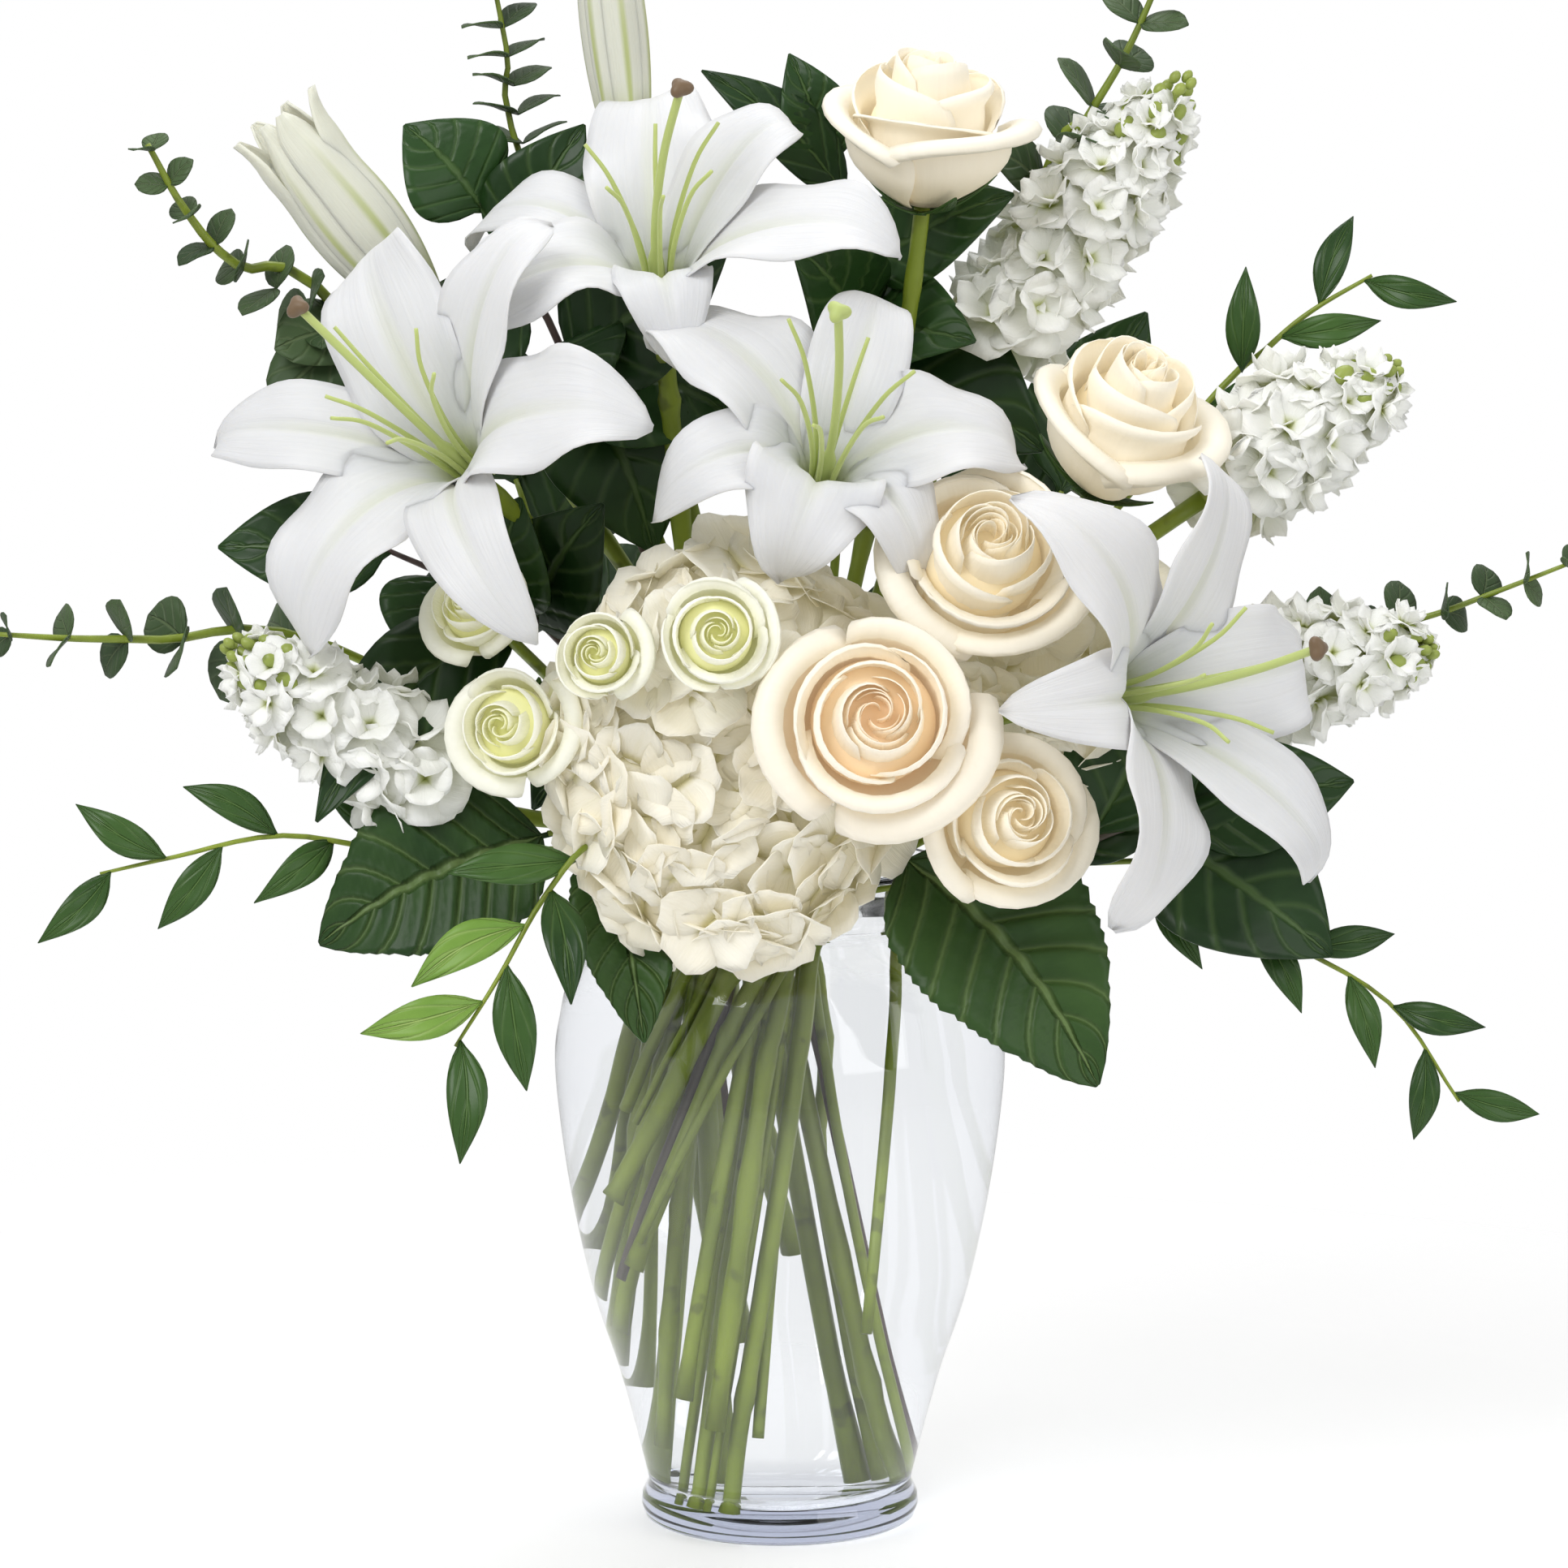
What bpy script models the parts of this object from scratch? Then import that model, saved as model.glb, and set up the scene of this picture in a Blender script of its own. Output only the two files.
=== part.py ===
"""Lilies, roses, stock and greenery standing in a clear glass vase.

Metres, +Z up. The origin is the centre of the vase's foot, on the surface that it stands on, and the
front of the arrangement faces -Y. Positions of flowers are written in millimetres and turned into
metres by mm(). Every stem runs from the vase's floor or wall through the neck to its own flower, in
the spiral that a florist ties: a stem passes the middle at one side and ends on the far side.
"""

import math
from dataclasses import dataclass

import bmesh
import bpy
import numpy as np
from mathutils import Matrix, Vector
from mathutils.bvhtree import BVHTree
from mathutils.kdtree import KDTree

# Driving dimensions
VASE_HEIGHT = 0.226
VASE_WALL = 0.003
VASE_FLOOR = 0.009
NECK_HEIGHT = 0.213
VASE_SEGMENTS = 24
# Radius and height of the outside, from the waist above the foot to the lip
VASE_SHAPE = (
    (0.0447, 0.014),
    (0.0500, 0.035),
    (0.0556, 0.055),
    (0.0630, 0.077),
    (0.0690, 0.103),
    (0.0734, 0.129),
    (0.0763, 0.157),
    (0.0748, 0.173),
    (0.0690, 0.194),
    (0.0520, NECK_HEIGHT),
    (0.0570, VASE_HEIGHT),
)
FOOT_RADIUS = 0.042
FOOT_BULGE = (0.0473, 0.006)
# The inside starts this far above the floor, and the flat floor is this much narrower than it
BOWL_START = 0.006
BOWL_FILLET = 0.004

# The clearance between neighbours, and the walls of leaves and petals
GAP = 0.0004
LEAF_THICKNESS = 0.0010
PETAL_THICKNESS = 0.0016
# The bevel resolution that gives a stem six sides, and the steps of the turned heads
STEM_SIDES = 1
BUD_STEPS = 8
SPIKE_STEPS = 10
ROSE_STEPS = 12

# An open lily: its cup, where its petals start to curl, and half the widths of both kinds of petal
LILY_CUP = 0.0045
CUP_SEGMENTS = 12
PETAL_ROOT = 0.0023
PETAL_KNEE = (0.010, 0.034)
PETAL_CREST = 0.016
BROAD_PETAL = 0.0185
SLIM_PETAL = 0.0140
PETAL_TIP = 0.0022
PETAL_ROWS = (0.2, 0.38, 0.56, 0.76, 1.0)
# How much wider than its stem a head's seat is
SEAT_MARGIN = 0.0012
BUD_SEAT = 0.0042

# The florist's spiral: how far from the middle a stem passes the neck
OUTER_RING = 0.0385
MIDDLE_RING = 0.0250
INNER_RING = 0.0110
# The height of a cut end that stands on the vase's floor
ON_FLOOR = VASE_FLOOR

# How the stems are spread until none touches another
ROUTE_STEP = 0.0035
SPREAD_ROUNDS = 110
SPREAD_GAP = 0.0011
EASING = 0.3
PINNED = 3
LONGEST_PUSH = 0.002
LINE_TOLERANCE = 0.0005
TUNNEL = 2.5 * GAP

PETAL_WHITE = (0.86, 0.86, 0.84, 1)
PETAL_CREAM = (0.86, 0.80, 0.68, 1)
LEAF_GREEN = (0.05, 0.12, 0.04, 1)
STEM_GREEN = (0.17, 0.27, 0.06, 1)
BUD_GREEN = (0.55, 0.60, 0.30, 1)
GLASS_CLEAR = (0.90, 0.94, 0.94, 1)


def mm(x, y, z):
    """A point given in millimetres, in metres."""
    return Vector((x, y, z)) * 0.001


def towards(azimuth, elevation):
    """The direction that a flower looks in: azimuth 0 is the front, 90 the right, and 180 the back."""
    a, e = math.radians(azimuth), math.radians(elevation)
    return Vector((math.sin(a) * math.cos(e), -math.cos(a) * math.cos(e), math.sin(e)))


@dataclass
class Stem:
    """A cut stem: the point and direction that its top ends at, its ring in the spiral, and its foot."""

    name: str
    top: Vector
    face: Vector
    radius: float
    ring: float
    foot: float = ON_FLOOR
    beyond: tuple = ()


@dataclass
class Lily:
    """An open lily. Each of its six petals has a reach from the flower's axis and a rise along it."""

    name: str
    base: Vector
    face: Vector
    roll: float
    petals: tuple
    ring: float
    foot: float
    stem_radius: float = 0.0036


@dataclass
class Rose:
    """A rose head: its radius, its height along its axis, and its stem."""

    name: str
    base: Vector
    face: Vector
    radius: float
    height: float
    ring: float
    foot: float
    stem_radius: float = 0.0030


@dataclass
class Spike:
    """A spike of stock, from where its florets begin to its tip."""

    name: str
    base: Vector
    tip: Vector
    radius: float
    ring: float
    foot: float
    stem_radius: float = 0.0032


@dataclass
class Leaf:
    """One large leaf: where its tip is, its width, and how far along its branch it starts."""

    start: float
    tip: Vector
    width: float


@dataclass
class Branch:
    """A leafy branch. Its points lie above the neck, and its leaves follow its kind's rule or its list."""

    name: str
    kind: str
    points: tuple
    ring: float
    foot: float
    radius: float = 0.0018
    pairs: int = 7
    size: tuple = (0.020, 0.010)
    turn: float = 0.0
    leaves: tuple = ()


LILIES = (
    Lily("lily_left", mm(-98, -62, 360), towards(-36, 22), 8,
         ((84, 24), (80, 50), (78, 46), (86, 42), (84, 14), (84, 6)), OUTER_RING, 0.060),
    Lily("lily_top", mm(-39, -37, 415), towards(-2, 38), 100,
         ((76, 33), (78, 4), (74, 23), (50, 12), (88, 46), (62, 50)), MIDDLE_RING, ON_FLOOR),
    Lily("lily_middle", mm(12, -88, 356), towards(2, 32), 4,
         ((68, 20), (66, 36), (82, 8), (62, 2), (46, 6), (54, 4)), MIDDLE_RING, ON_FLOOR),
    Lily("lily_right", mm(100, -98, 292), towards(48, 6), 2,
         ((70, 40), (84, 40), (84, 14), (60, 6), (82, 24), (80, 56)), OUTER_RING, 0.070),
)

ROSES = (
    Rose("rose_top", mm(47, -20, 450), towards(3, 70), 0.030, 0.050, MIDDLE_RING, ON_FLOOR),
    Rose("rose_upper_right", mm(104, -48, 359), towards(20, 52), 0.028, 0.052, OUTER_RING, 0.050),
    Rose("rose_right", mm(61, -88, 327), towards(3, 26), 0.031, 0.046, OUTER_RING, 0.080),
    Rose("rose_middle", mm(28, -117, 284), towards(-2, 13), 0.032, 0.044, OUTER_RING, 0.100),
    Rose("rose_lower_right", mm(66, -102, 253), towards(6, 12), 0.025, 0.042, OUTER_RING, 0.030),
    Rose("spray_rose_left", mm(-95, -55, 313), towards(-20, 20), 0.016, 0.026, OUTER_RING, 0.110, 0.0022),
    Rose("spray_rose_lower", mm(-82, -76, 281), towards(-14, 4), 0.020, 0.030, OUTER_RING, 0.075, 0.0022),
    Rose("spray_rose_small", mm(-54, -106, 306), towards(-12, 8), 0.0145, 0.026, OUTER_RING, 0.045, 0.0020),
    Rose("spray_rose_middle", mm(-21, -120, 314), towards(3, 6), 0.0185, 0.030, OUTER_RING, 0.092, 0.0022),
)

SPIKES = (
    Spike("stock_upper_right", mm(70, 6, 396), mm(141, 6, 491), 0.027, MIDDLE_RING, ON_FLOOR),
    Spike("stock_right", mm(140, -34, 352), mm(203, -30, 401), 0.027, OUTER_RING, 0.040),
    Spike("stock_lower_right", mm(150, -42, 292), mm(218, -50, 301), 0.024, OUTER_RING, 0.095),
    Spike("stock_left", mm(-112, -58, 258), mm(-177, -66, 318), 0.025, OUTER_RING, 0.088),
)

# Open branching heads of florets: centre, half sizes, and the stem's ring and foot
HYDRANGEAS = (
    ("hydrangea_front", mm(-16, -84, 274), mm(58, 30, 72), OUTER_RING, 0.055),
    ("hydrangea_right", mm(84, -52, 303), mm(46, 25, 44), OUTER_RING, 0.118),
)
HYDRANGEA_STEM = 0.0038

# Closed and half-open lily buds: where each begins, where it ends, its radius, ring and foot
BUDS = (
    ("lily_bud_half_open", mm(-119, -8, 415), mm(-168, -18, 474), 0.0130, MIDDLE_RING, ON_FLOOR),
    ("lily_bud_closed", mm(-50, 6, 462), mm(-54, 6, 558), 0.0105, INNER_RING, ON_FLOOR),
)
BUD_STEM = 0.0032

BRANCHES = (
    Branch("eucalyptus_top", "eucalyptus", (mm(-84, 22, 452), mm(-92, 20, 500), mm(-103, 22, 556)),
           INNER_RING, ON_FLOOR, 0.0016, 6, (0.0165, 0.0135), 20),
    Branch("eucalyptus_upper_left", "eucalyptus",
           (mm(-140, 4, 404), mm(-181, -8, 428), mm(-197, -14, 446), mm(-209, -18, 468)),
           MIDDLE_RING, ON_FLOOR, 0.0018, 5, (0.0185, 0.0090), 40),
    Branch("eucalyptus_left", "eucalyptus",
           (mm(-150, -8, 300), mm(-206, -24, 304), mm(-234, -30, 305), mm(-258, -36, 307)),
           OUTER_RING, 0.065, 0.0018, 5, (0.0240, 0.0095), 65),
    Branch("eucalyptus_top_right", "eucalyptus",
           (mm(84, 18, 444), mm(103, 14, 476), mm(118, 12, 502), mm(134, 10, 540)),
           INNER_RING, ON_FLOOR, 0.0018, 5, (0.0210, 0.0120), 30),
    Branch("eucalyptus_right", "eucalyptus",
           (mm(170, -16, 300), mm(212, -26, 311), mm(236, -30, 320), mm(262, -36, 331)),
           OUTER_RING, 0.105, 0.0016, 5, (0.0170, 0.0090), 10),
    Branch("ruscus_left", "ruscus",
           (mm(-118, -48, 236), mm(-163, -60, 243), mm(-198, -68, 237), mm(-222, -72, 232)),
           OUTER_RING, 0.100, 0.0013, 6, (0.036, 0.034), 0),
    Branch("ruscus_lower_left", "ruscus",
           (mm(-60, -86, 244), mm(-76, -100, 228), mm(-90, -110, 204), mm(-104, -115, 182)),
           OUTER_RING, 0.112, 0.0013, 6, (0.044, 0.040), 0),
    Branch("ruscus_upper_right", "ruscus",
           (mm(136, 6, 372), mm(163, 4, 399), mm(178, 2, 412), mm(198, 0, 424)),
           MIDDLE_RING, ON_FLOOR, 0.0015, 5, (0.037, 0.032), 0),
    Branch("ruscus_lower_right", "ruscus",
           (mm(116, -56, 234), mm(160, -68, 212), mm(199, -75, 190), mm(222, -80, 158)),
           OUTER_RING, 0.115, 0.0013, 8, (0.034, 0.030), 0),
    Branch("salal_upper_left", "salal", (mm(-70, 4, 392), mm(-92, 2, 430), mm(-100, 0, 448)),
           INNER_RING, ON_FLOOR, 0.0020, leaves=(
               Leaf(0.95, mm(-125, -2, 474), 0.040), Leaf(0.62, mm(-66, -6, 474), 0.036),
               Leaf(0.40, mm(-128, -4, 388), 0.040), Leaf(0.15, mm(-60, -30, 384), 0.044))),
    Branch("salal_upper_right", "salal", (mm(24, 16, 392), mm(28, 14, 430), mm(18, 12, 462)),
           INNER_RING, ON_FLOOR, 0.0020, leaves=(
               Leaf(0.98, mm(4, 4, 497), 0.026), Leaf(0.80, mm(-26, 6, 492), 0.022),
               Leaf(0.45, mm(76, -4, 452), 0.036), Leaf(0.10, mm(4, -34, 436), 0.040),
               Leaf(0.25, mm(64, -18, 404), 0.040))),
    Branch("salal_left", "salal", (mm(-70, -22, 300), mm(-104, -26, 322), mm(-130, -26, 334)),
           OUTER_RING, 0.070, 0.0020, leaves=(
               Leaf(0.98, mm(-186, -30, 336), 0.038), Leaf(0.70, mm(-118, -44, 296), 0.040),
               Leaf(0.45, mm(-86, -52, 352), 0.042), Leaf(0.20, mm(-60, -52, 350), 0.044),
               Leaf(0.30, mm(-150, -84, 252), 0.036))),
    Branch("salal_right", "salal", (mm(80, -50, 232), mm(114, -62, 246), mm(130, -64, 248)),
           OUTER_RING, 0.090, 0.0020, leaves=(
               Leaf(0.98, mm(188, -62, 262), 0.040), Leaf(0.80, mm(180, -78, 206), 0.056),
               Leaf(0.45, mm(128, -58, 318), 0.044))),
    Branch("salal_back_left", "salal", (mm(-50, 44, 280), mm(-80, 70, 320), mm(-92, 78, 350)),
           OUTER_RING, 0.085, 0.0020, leaves=(
               Leaf(0.98, mm(-126, 84, 412), 0.046), Leaf(0.75, mm(-46, 96, 384), 0.046),
               Leaf(0.50, mm(-132, 70, 304), 0.044), Leaf(0.20, mm(-34, 98, 318), 0.044),
               Leaf(0.05, mm(-86, 72, 238), 0.040))),
    Branch("salal_back_right", "salal", (mm(50, 44, 280), mm(82, 70, 312), mm(98, 76, 346)),
           OUTER_RING, 0.075, 0.0020, leaves=(
               Leaf(0.98, mm(126, 82, 408), 0.046), Leaf(0.75, mm(56, 96, 380), 0.046),
               Leaf(0.50, mm(134, 68, 300), 0.044), Leaf(0.20, mm(30, 98, 306), 0.044),
               Leaf(0.05, mm(92, 70, 236), 0.040))),
    Branch("hydrangea_leaf_right", "broad", (mm(36, -62, 238), mm(38, -80, 240)),
           OUTER_RING, 0.108, 0.0022, leaves=(Leaf(0.95, mm(103, -104, 168), 0.066),)),
    Branch("hydrangea_leaf_left", "broad", (mm(-52, -44, 242), mm(-76, -62, 244)),
           OUTER_RING, 0.122, 0.0022, leaves=(
               Leaf(0.95, mm(-150, -80, 212), 0.062), Leaf(0.20, mm(-44, -92, 180), 0.036))),
)


# ---------------------------------------------------------------- small helpers


def smooth_curve(points, count):
    """Catmull-Rom points through the given ones, count of them for each stretch."""
    points = [Vector(p) for p in points]
    padded = [2 * points[0] - points[1], *points, 2 * points[-1] - points[-2]]
    made = []
    for a, b, c, d in zip(padded, padded[1:], padded[2:], padded[3:]):
        for i in range(count):
            t = i / count
            made.append(
                0.5 * ((2 * b) + (c - a) * t + (2 * a - 5 * b + 4 * c - d) * t**2
                       + (3 * b - a - 3 * c + d) * t**3)
            )
    return made + [points[-1]]


def even_spacing(points, step):
    """The same line with points that lie about step apart."""
    lengths = [(b - a).length for a, b in zip(points, points[1:])]
    total = sum(lengths)
    count = max(2, round(total / step))
    made, at, i = [points[0].copy()], 0.0, 0
    for k in range(1, count):
        wanted = total * k / count
        while at + lengths[i] < wanted:
            at += lengths[i]
            i += 1
        made.append(points[i].lerp(points[i + 1], (wanted - at) / lengths[i]))
    return made + [points[-1].copy()]


def simplified(points, tolerance):
    """The fewest of the points that keep the line within the tolerance."""
    first, last = points[0], points[-1]
    along = (last - first).normalized()
    worst, index = 0.0, 0
    for i, p in enumerate(points[1:-1], 1):
        off = ((p - first) - (p - first).dot(along) * along).length
        if off > worst:
            worst, index = off, i
    if worst <= tolerance:
        return [first, last]
    return simplified(points[: index + 1], tolerance)[:-1] + simplified(points[index:], tolerance)


def uncrowded(points, nearest):
    """The line without the points that lie too near the one before, where a tube would fold on itself."""
    kept = [points[0]]
    for p in points[1:-1]:
        if (p - kept[-1]).length >= nearest and (p - points[-1]).length >= nearest:
            kept.append(p)
    return kept + [points[-1]]


def point_at(points, share):
    """The point and the direction at a share of a line's length."""
    lengths = [(b - a).length for a, b in zip(points, points[1:])]
    wanted = max(0.0, min(1.0, share)) * sum(lengths)
    for a, b, length in zip(points, points[1:], lengths):
        if wanted <= length:
            return a.lerp(b, wanted / length), (b - a).normalized()
        wanted -= length
    return points[-1].copy(), (points[-1] - points[-2]).normalized()


def outer_radius(height):
    """The vase's outside radius at a height, read off its smooth outline."""
    outline = vase_outline()
    for (r0, z0), (r1, z1) in zip(outline, outline[1:]):
        if z0 <= height <= z1:
            return r0 + (r1 - r0) * (height - z0) / (z1 - z0)
    return outline[0][0] if height < outline[0][1] else outline[-1][0]


def vase_outline():
    """The outside of the body as (radius, height), from the waist to the lip."""
    return [(p.x, p.z) for p in smooth_curve([Vector((r, 0, z)) for r, z in VASE_SHAPE], 1)]


def frame_of(axis):
    """A rotation that turns +Z into the axis and keeps +X level."""
    axis = axis.normalized()
    side = Vector((0, 0, 1)).cross(axis)
    if side.length < 0.02:
        side = Vector((1, 0, 0))
    side.normalize()
    return Matrix((side, axis.cross(side), axis)).transposed()


# ---------------------------------------------------------------- Blender objects


def material(name, colour, roughness, transmission=0.0):
    """A plain material of the part's colour."""
    made = bpy.data.materials.get(name) or bpy.data.materials.new(name)
    made.use_nodes = True
    shader = made.node_tree.nodes["Principled BSDF"]
    shader.inputs["Base Color"].default_value = colour
    shader.inputs["Roughness"].default_value = roughness
    shader.inputs["Transmission Weight"].default_value = transmission
    made.diffuse_color = colour
    return made


def add_object(name, mesh, colour, collection):
    """An object for a mesh, in the collection and with its material."""
    obj = bpy.data.objects.new(name, mesh)
    mesh.materials.clear()
    mesh.materials.append(colour)
    collection.objects.link(obj)
    return obj


def mesh_from(bm, name):
    """The bmesh as a closed mesh with its faces pointing out."""
    bmesh.ops.recalc_face_normals(bm, faces=bm.faces)
    mesh = bpy.data.meshes.new(name)
    bm.to_mesh(mesh)
    bm.free()
    return mesh


def evaluated_mesh(obj, weld=1e-6):
    """A new mesh of the object as its modifiers leave it, in world space, with loose caps welded."""
    bpy.context.view_layer.update()
    graph = bpy.context.evaluated_depsgraph_get()
    mesh = bpy.data.meshes.new_from_object(obj.evaluated_get(graph), depsgraph=graph)
    mesh.transform(obj.matrix_world)
    bm = bmesh.new()
    bm.from_mesh(mesh)
    if weld:
        bmesh.ops.remove_doubles(bm, verts=bm.verts, dist=weld)
    bm.to_mesh(mesh)
    bm.free()
    return mesh


def tube(name, points, radius, colour, collection):
    """A stem: a round tube with closed ends along the points."""
    curve = bpy.data.curves.new(name, "CURVE")
    curve.dimensions = "3D"
    curve.bevel_depth = radius
    curve.bevel_resolution = STEM_SIDES
    curve.use_fill_caps = True
    spline = curve.splines.new("POLY")
    spline.points.add(len(points) - 1)
    for target, p in zip(spline.points, points):
        target.co = (*p, 1)
    made = bpy.data.objects.new(name, curve)
    bpy.context.scene.collection.objects.link(made)
    mesh = evaluated_mesh(made)
    bpy.data.objects.remove(made)
    mesh.name = name
    return add_object(name, mesh, colour, collection)


def turned(name, profile, steps, colour, collection):
    """A turned solid: the profile runs down its outer side, from the top of the axis to the bottom."""
    bm = bmesh.new()
    verts = [bm.verts.new((r, 0, z)) for r, z in profile]
    for a, b in zip(verts, verts[1:]):
        bm.edges.new((a, b))
    mesh = bpy.data.meshes.new(name)
    bm.to_mesh(mesh)
    bm.free()
    made = add_object(name, mesh, colour, collection)
    screw = made.modifiers.new("Turn", "SCREW")
    screw.steps = screw.render_steps = steps
    screw.use_merge_vertices = True
    screw.merge_threshold = 1e-5
    return made


def boolean(obj, other, operation):
    """Cuts or joins with another object at once, and leaves a plain mesh.

    The solver is MANIFOLD, because EXACT loses whole bodies where thin leaves cross a thin stem.
    """
    step = obj.modifiers.new("Boolean", "BOOLEAN")
    step.operation = operation
    step.solver = "MANIFOLD"
    step.object = other
    mesh = evaluated_mesh(obj, 0.0)
    obj.modifiers.clear()
    old = obj.data
    obj.data = mesh
    obj.matrix_world = Matrix.Identity(4)
    bpy.data.meshes.remove(old)


def keep_largest_body(obj):
    """Drops the crumbs that a cut leaves apart from the main body."""
    bm = bmesh.new()
    bm.from_mesh(obj.data)
    left, bodies = set(bm.verts), []
    while left:
        todo, body = [left.pop()], []
        while todo:
            v = todo.pop()
            body.append(v)
            for edge in v.link_edges:
                other = edge.other_vert(v)
                if other in left:
                    left.remove(other)
                    todo.append(other)
        bodies.append(body)
    bodies.sort(key=len, reverse=True)
    for body in bodies[1:]:
        bmesh.ops.delete(bm, geom=body, context="VERTS")
    bm.to_mesh(obj.data)
    bm.free()


# ---------------------------------------------------------------- the vase


def vase(collection, colour):
    """The glass vase: a turned shell with a thick floor, open at the lip."""
    body = vase_outline()
    inside = [(r - VASE_WALL, z) for r, z in body if z > VASE_FLOOR + BOWL_START]
    outside = [*reversed(body), FOOT_BULGE, (FOOT_RADIUS, 0), (0, 0)]
    profile = [(0, VASE_FLOOR), (inside[0][0] - BOWL_FILLET, VASE_FLOOR), *inside, *outside]
    return turned("vase", profile, VASE_SEGMENTS, colour, collection)


def vase_blank(cutters, colour):
    """The vase and all the room inside it, a little oversize, for cutting what hangs over the lip."""
    body = [(r + GAP, z) for r, z in vase_outline()]
    profile = [(0, VASE_HEIGHT + GAP), *reversed(body), (FOOT_BULGE[0], 0.0), (0, 0.0)]
    return turned("vase_blank", profile, VASE_SEGMENTS, colour, cutters)


# ---------------------------------------------------------------- stems


def first_route(stem):
    """The stem before it is spread from its neighbours: straight through the neck, then bent to its top."""
    plan = Vector((stem.top.x, stem.top.y, 0))
    reach = max(plan.length, stem.ring * 1.02)
    turn = math.atan2(plan.y, plan.x) - math.acos(stem.ring / reach)
    side = Vector((math.cos(turn), math.sin(turn), 0))
    ahead = Vector((-math.sin(turn), math.cos(turn), 0))
    neck = side * stem.ring + Vector((0, 0, NECK_HEIGHT))
    wall = outer_radius(stem.foot) - VASE_WALL - stem.radius - 2 * GAP
    back = math.sqrt(max(wall**2 - stem.ring**2, 1e-6))
    foot = side * stem.ring - ahead * back + Vector((0, 0, stem.foot))
    leaving = (neck - foot).normalized()
    span = (stem.top - neck).length
    lower = [foot.lerp(neck, i / 12) for i in range(12)]
    upper = []
    for i in range(25):
        t = i / 24
        upper.append(
            (2 * t**3 - 3 * t**2 + 1) * neck
            + (t**3 - 2 * t**2 + t) * leaving * span
            + (3 * t**2 - 2 * t**3) * stem.top
            + (t**3 - t**2) * stem.face * span * 0.8
        )
    return even_spacing(lower + upper, ROUTE_STEP)


def spread_apart(stems):
    """The stems' routes, moved apart in small steps until none touches another or the glass."""
    routes = [first_route(s) for s in stems]
    points = np.array([p for r in routes for p in r])
    owner = np.array([i for i, r in enumerate(routes) for _ in r])
    radius = np.array([stems[i].radius for i in owner])
    starts = np.cumsum([0] + [len(r) for r in routes])
    fixed = np.zeros(len(points), bool)
    for begin, end in zip(starts, starts[1:]):
        fixed[end - PINNED : end] = True
    solid = [(Vector(p), s.radius, i) for i, s in enumerate(stems) for p in s.beyond]
    widest = radius.max() + SPREAD_GAP
    for _ in range(SPREAD_ROUNDS):
        for begin, end in zip(starts, starts[1:]):
            middle = (points[begin : end - 2] + points[begin + 2 : end]) / 2
            inner = slice(begin + 1, end - 1)
            eased = points[inner] + EASING * (middle - points[inner])
            points[inner] = np.where(fixed[inner, None], points[inner], eased)
        tree = KDTree(len(points) + len(solid))
        for i, p in enumerate(points):
            tree.insert(p, i)
        for i, (p, _, _) in enumerate(solid):
            tree.insert(p, len(points) + i)
        tree.balance()
        push = np.zeros_like(points)
        for i, p in enumerate(points):
            if fixed[i]:
                continue
            for found, j, distance in tree.find_range(p, radius[i] + widest):
                other = owner[j] if j < len(points) else solid[j - len(points)][2]
                if other == owner[i] or distance < 1e-9:
                    continue
                size = radius[j] if j < len(points) else solid[j - len(points)][1]
                deficit = radius[i] + size + SPREAD_GAP - distance
                if deficit > 0:
                    firm = j >= len(points) or fixed[j]
                    away = np.array(Vector(p) - found) / distance
                    push[i] += away * deficit * (0.9 if firm else 0.45)
        points += np.clip(push, -LONGEST_PUSH, LONGEST_PUSH)
        keep_in_glass(points, radius, fixed)
        for begin, stem in zip(starts, stems):
            seat_foot(points, begin, stem)
    return [[Vector(p) for p in points[a:b]] for a, b in zip(starts, starts[1:])]


def keep_in_glass(points, radius, fixed):
    """Moves points that have gone through the glass back inside it."""
    for i in np.nonzero((points[:, 2] < VASE_HEIGHT + 0.004) & ~fixed)[0]:
        height = min(points[i, 2], VASE_HEIGHT)
        room = outer_radius(height) - VASE_WALL - radius[i] - 2 * GAP
        out = math.hypot(points[i, 0], points[i, 1])
        if out > room:
            points[i, :2] *= room / out


def seat_foot(points, begin, stem):
    """Holds a stem's cut end against the inside of the glass at its own height, or on the vase's floor."""
    along = points[begin + 1] - points[begin]
    lean = math.hypot(along[0], along[1]) / np.linalg.norm(along)
    points[begin, 2] = max(stem.foot, VASE_FLOOR + GAP + stem.radius * lean)
    room = outer_radius(stem.foot) - VASE_WALL - stem.radius - 1.2 * GAP
    out = max(math.hypot(points[begin, 0], points[begin, 1]), 1e-6)
    points[begin, :2] *= room / out


# ---------------------------------------------------------------- flowers


def grow(bm, rail, rows):
    """Extrudes a strip of edges through rows of places, one vertex for each place."""
    for places in rows:
        edges = [bm.edges.get((a, b)) for a, b in zip(rail, rail[1:])]
        made = bmesh.ops.extrude_edge_only(bm, edges=edges)["geom"]
        new = [v for v in made if isinstance(v, bmesh.types.BMVert)]
        rail = [min(new, key=lambda v, at=old.co.copy(): (v.co - at).length) for old in rail]
        for vert, place in zip(rail, places):
            vert.co = place
    return rail


def petal_line(reach, rise, share):
    """How far out and how high a lily's petal is at a share of its length."""
    knee_out, knee_up = PETAL_KNEE
    crest = max(rise, knee_up) + PETAL_CREST
    out = (LILY_CUP, knee_out, reach * 0.62, reach)
    up = (0.0, knee_up, crest, rise)
    weights = ((1 - share) ** 3, 3 * share * (1 - share) ** 2, 3 * share**2 * (1 - share), share**3)
    return sum(w * o for w, o in zip(weights, out)), sum(w * u for w, u in zip(weights, up))


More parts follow.
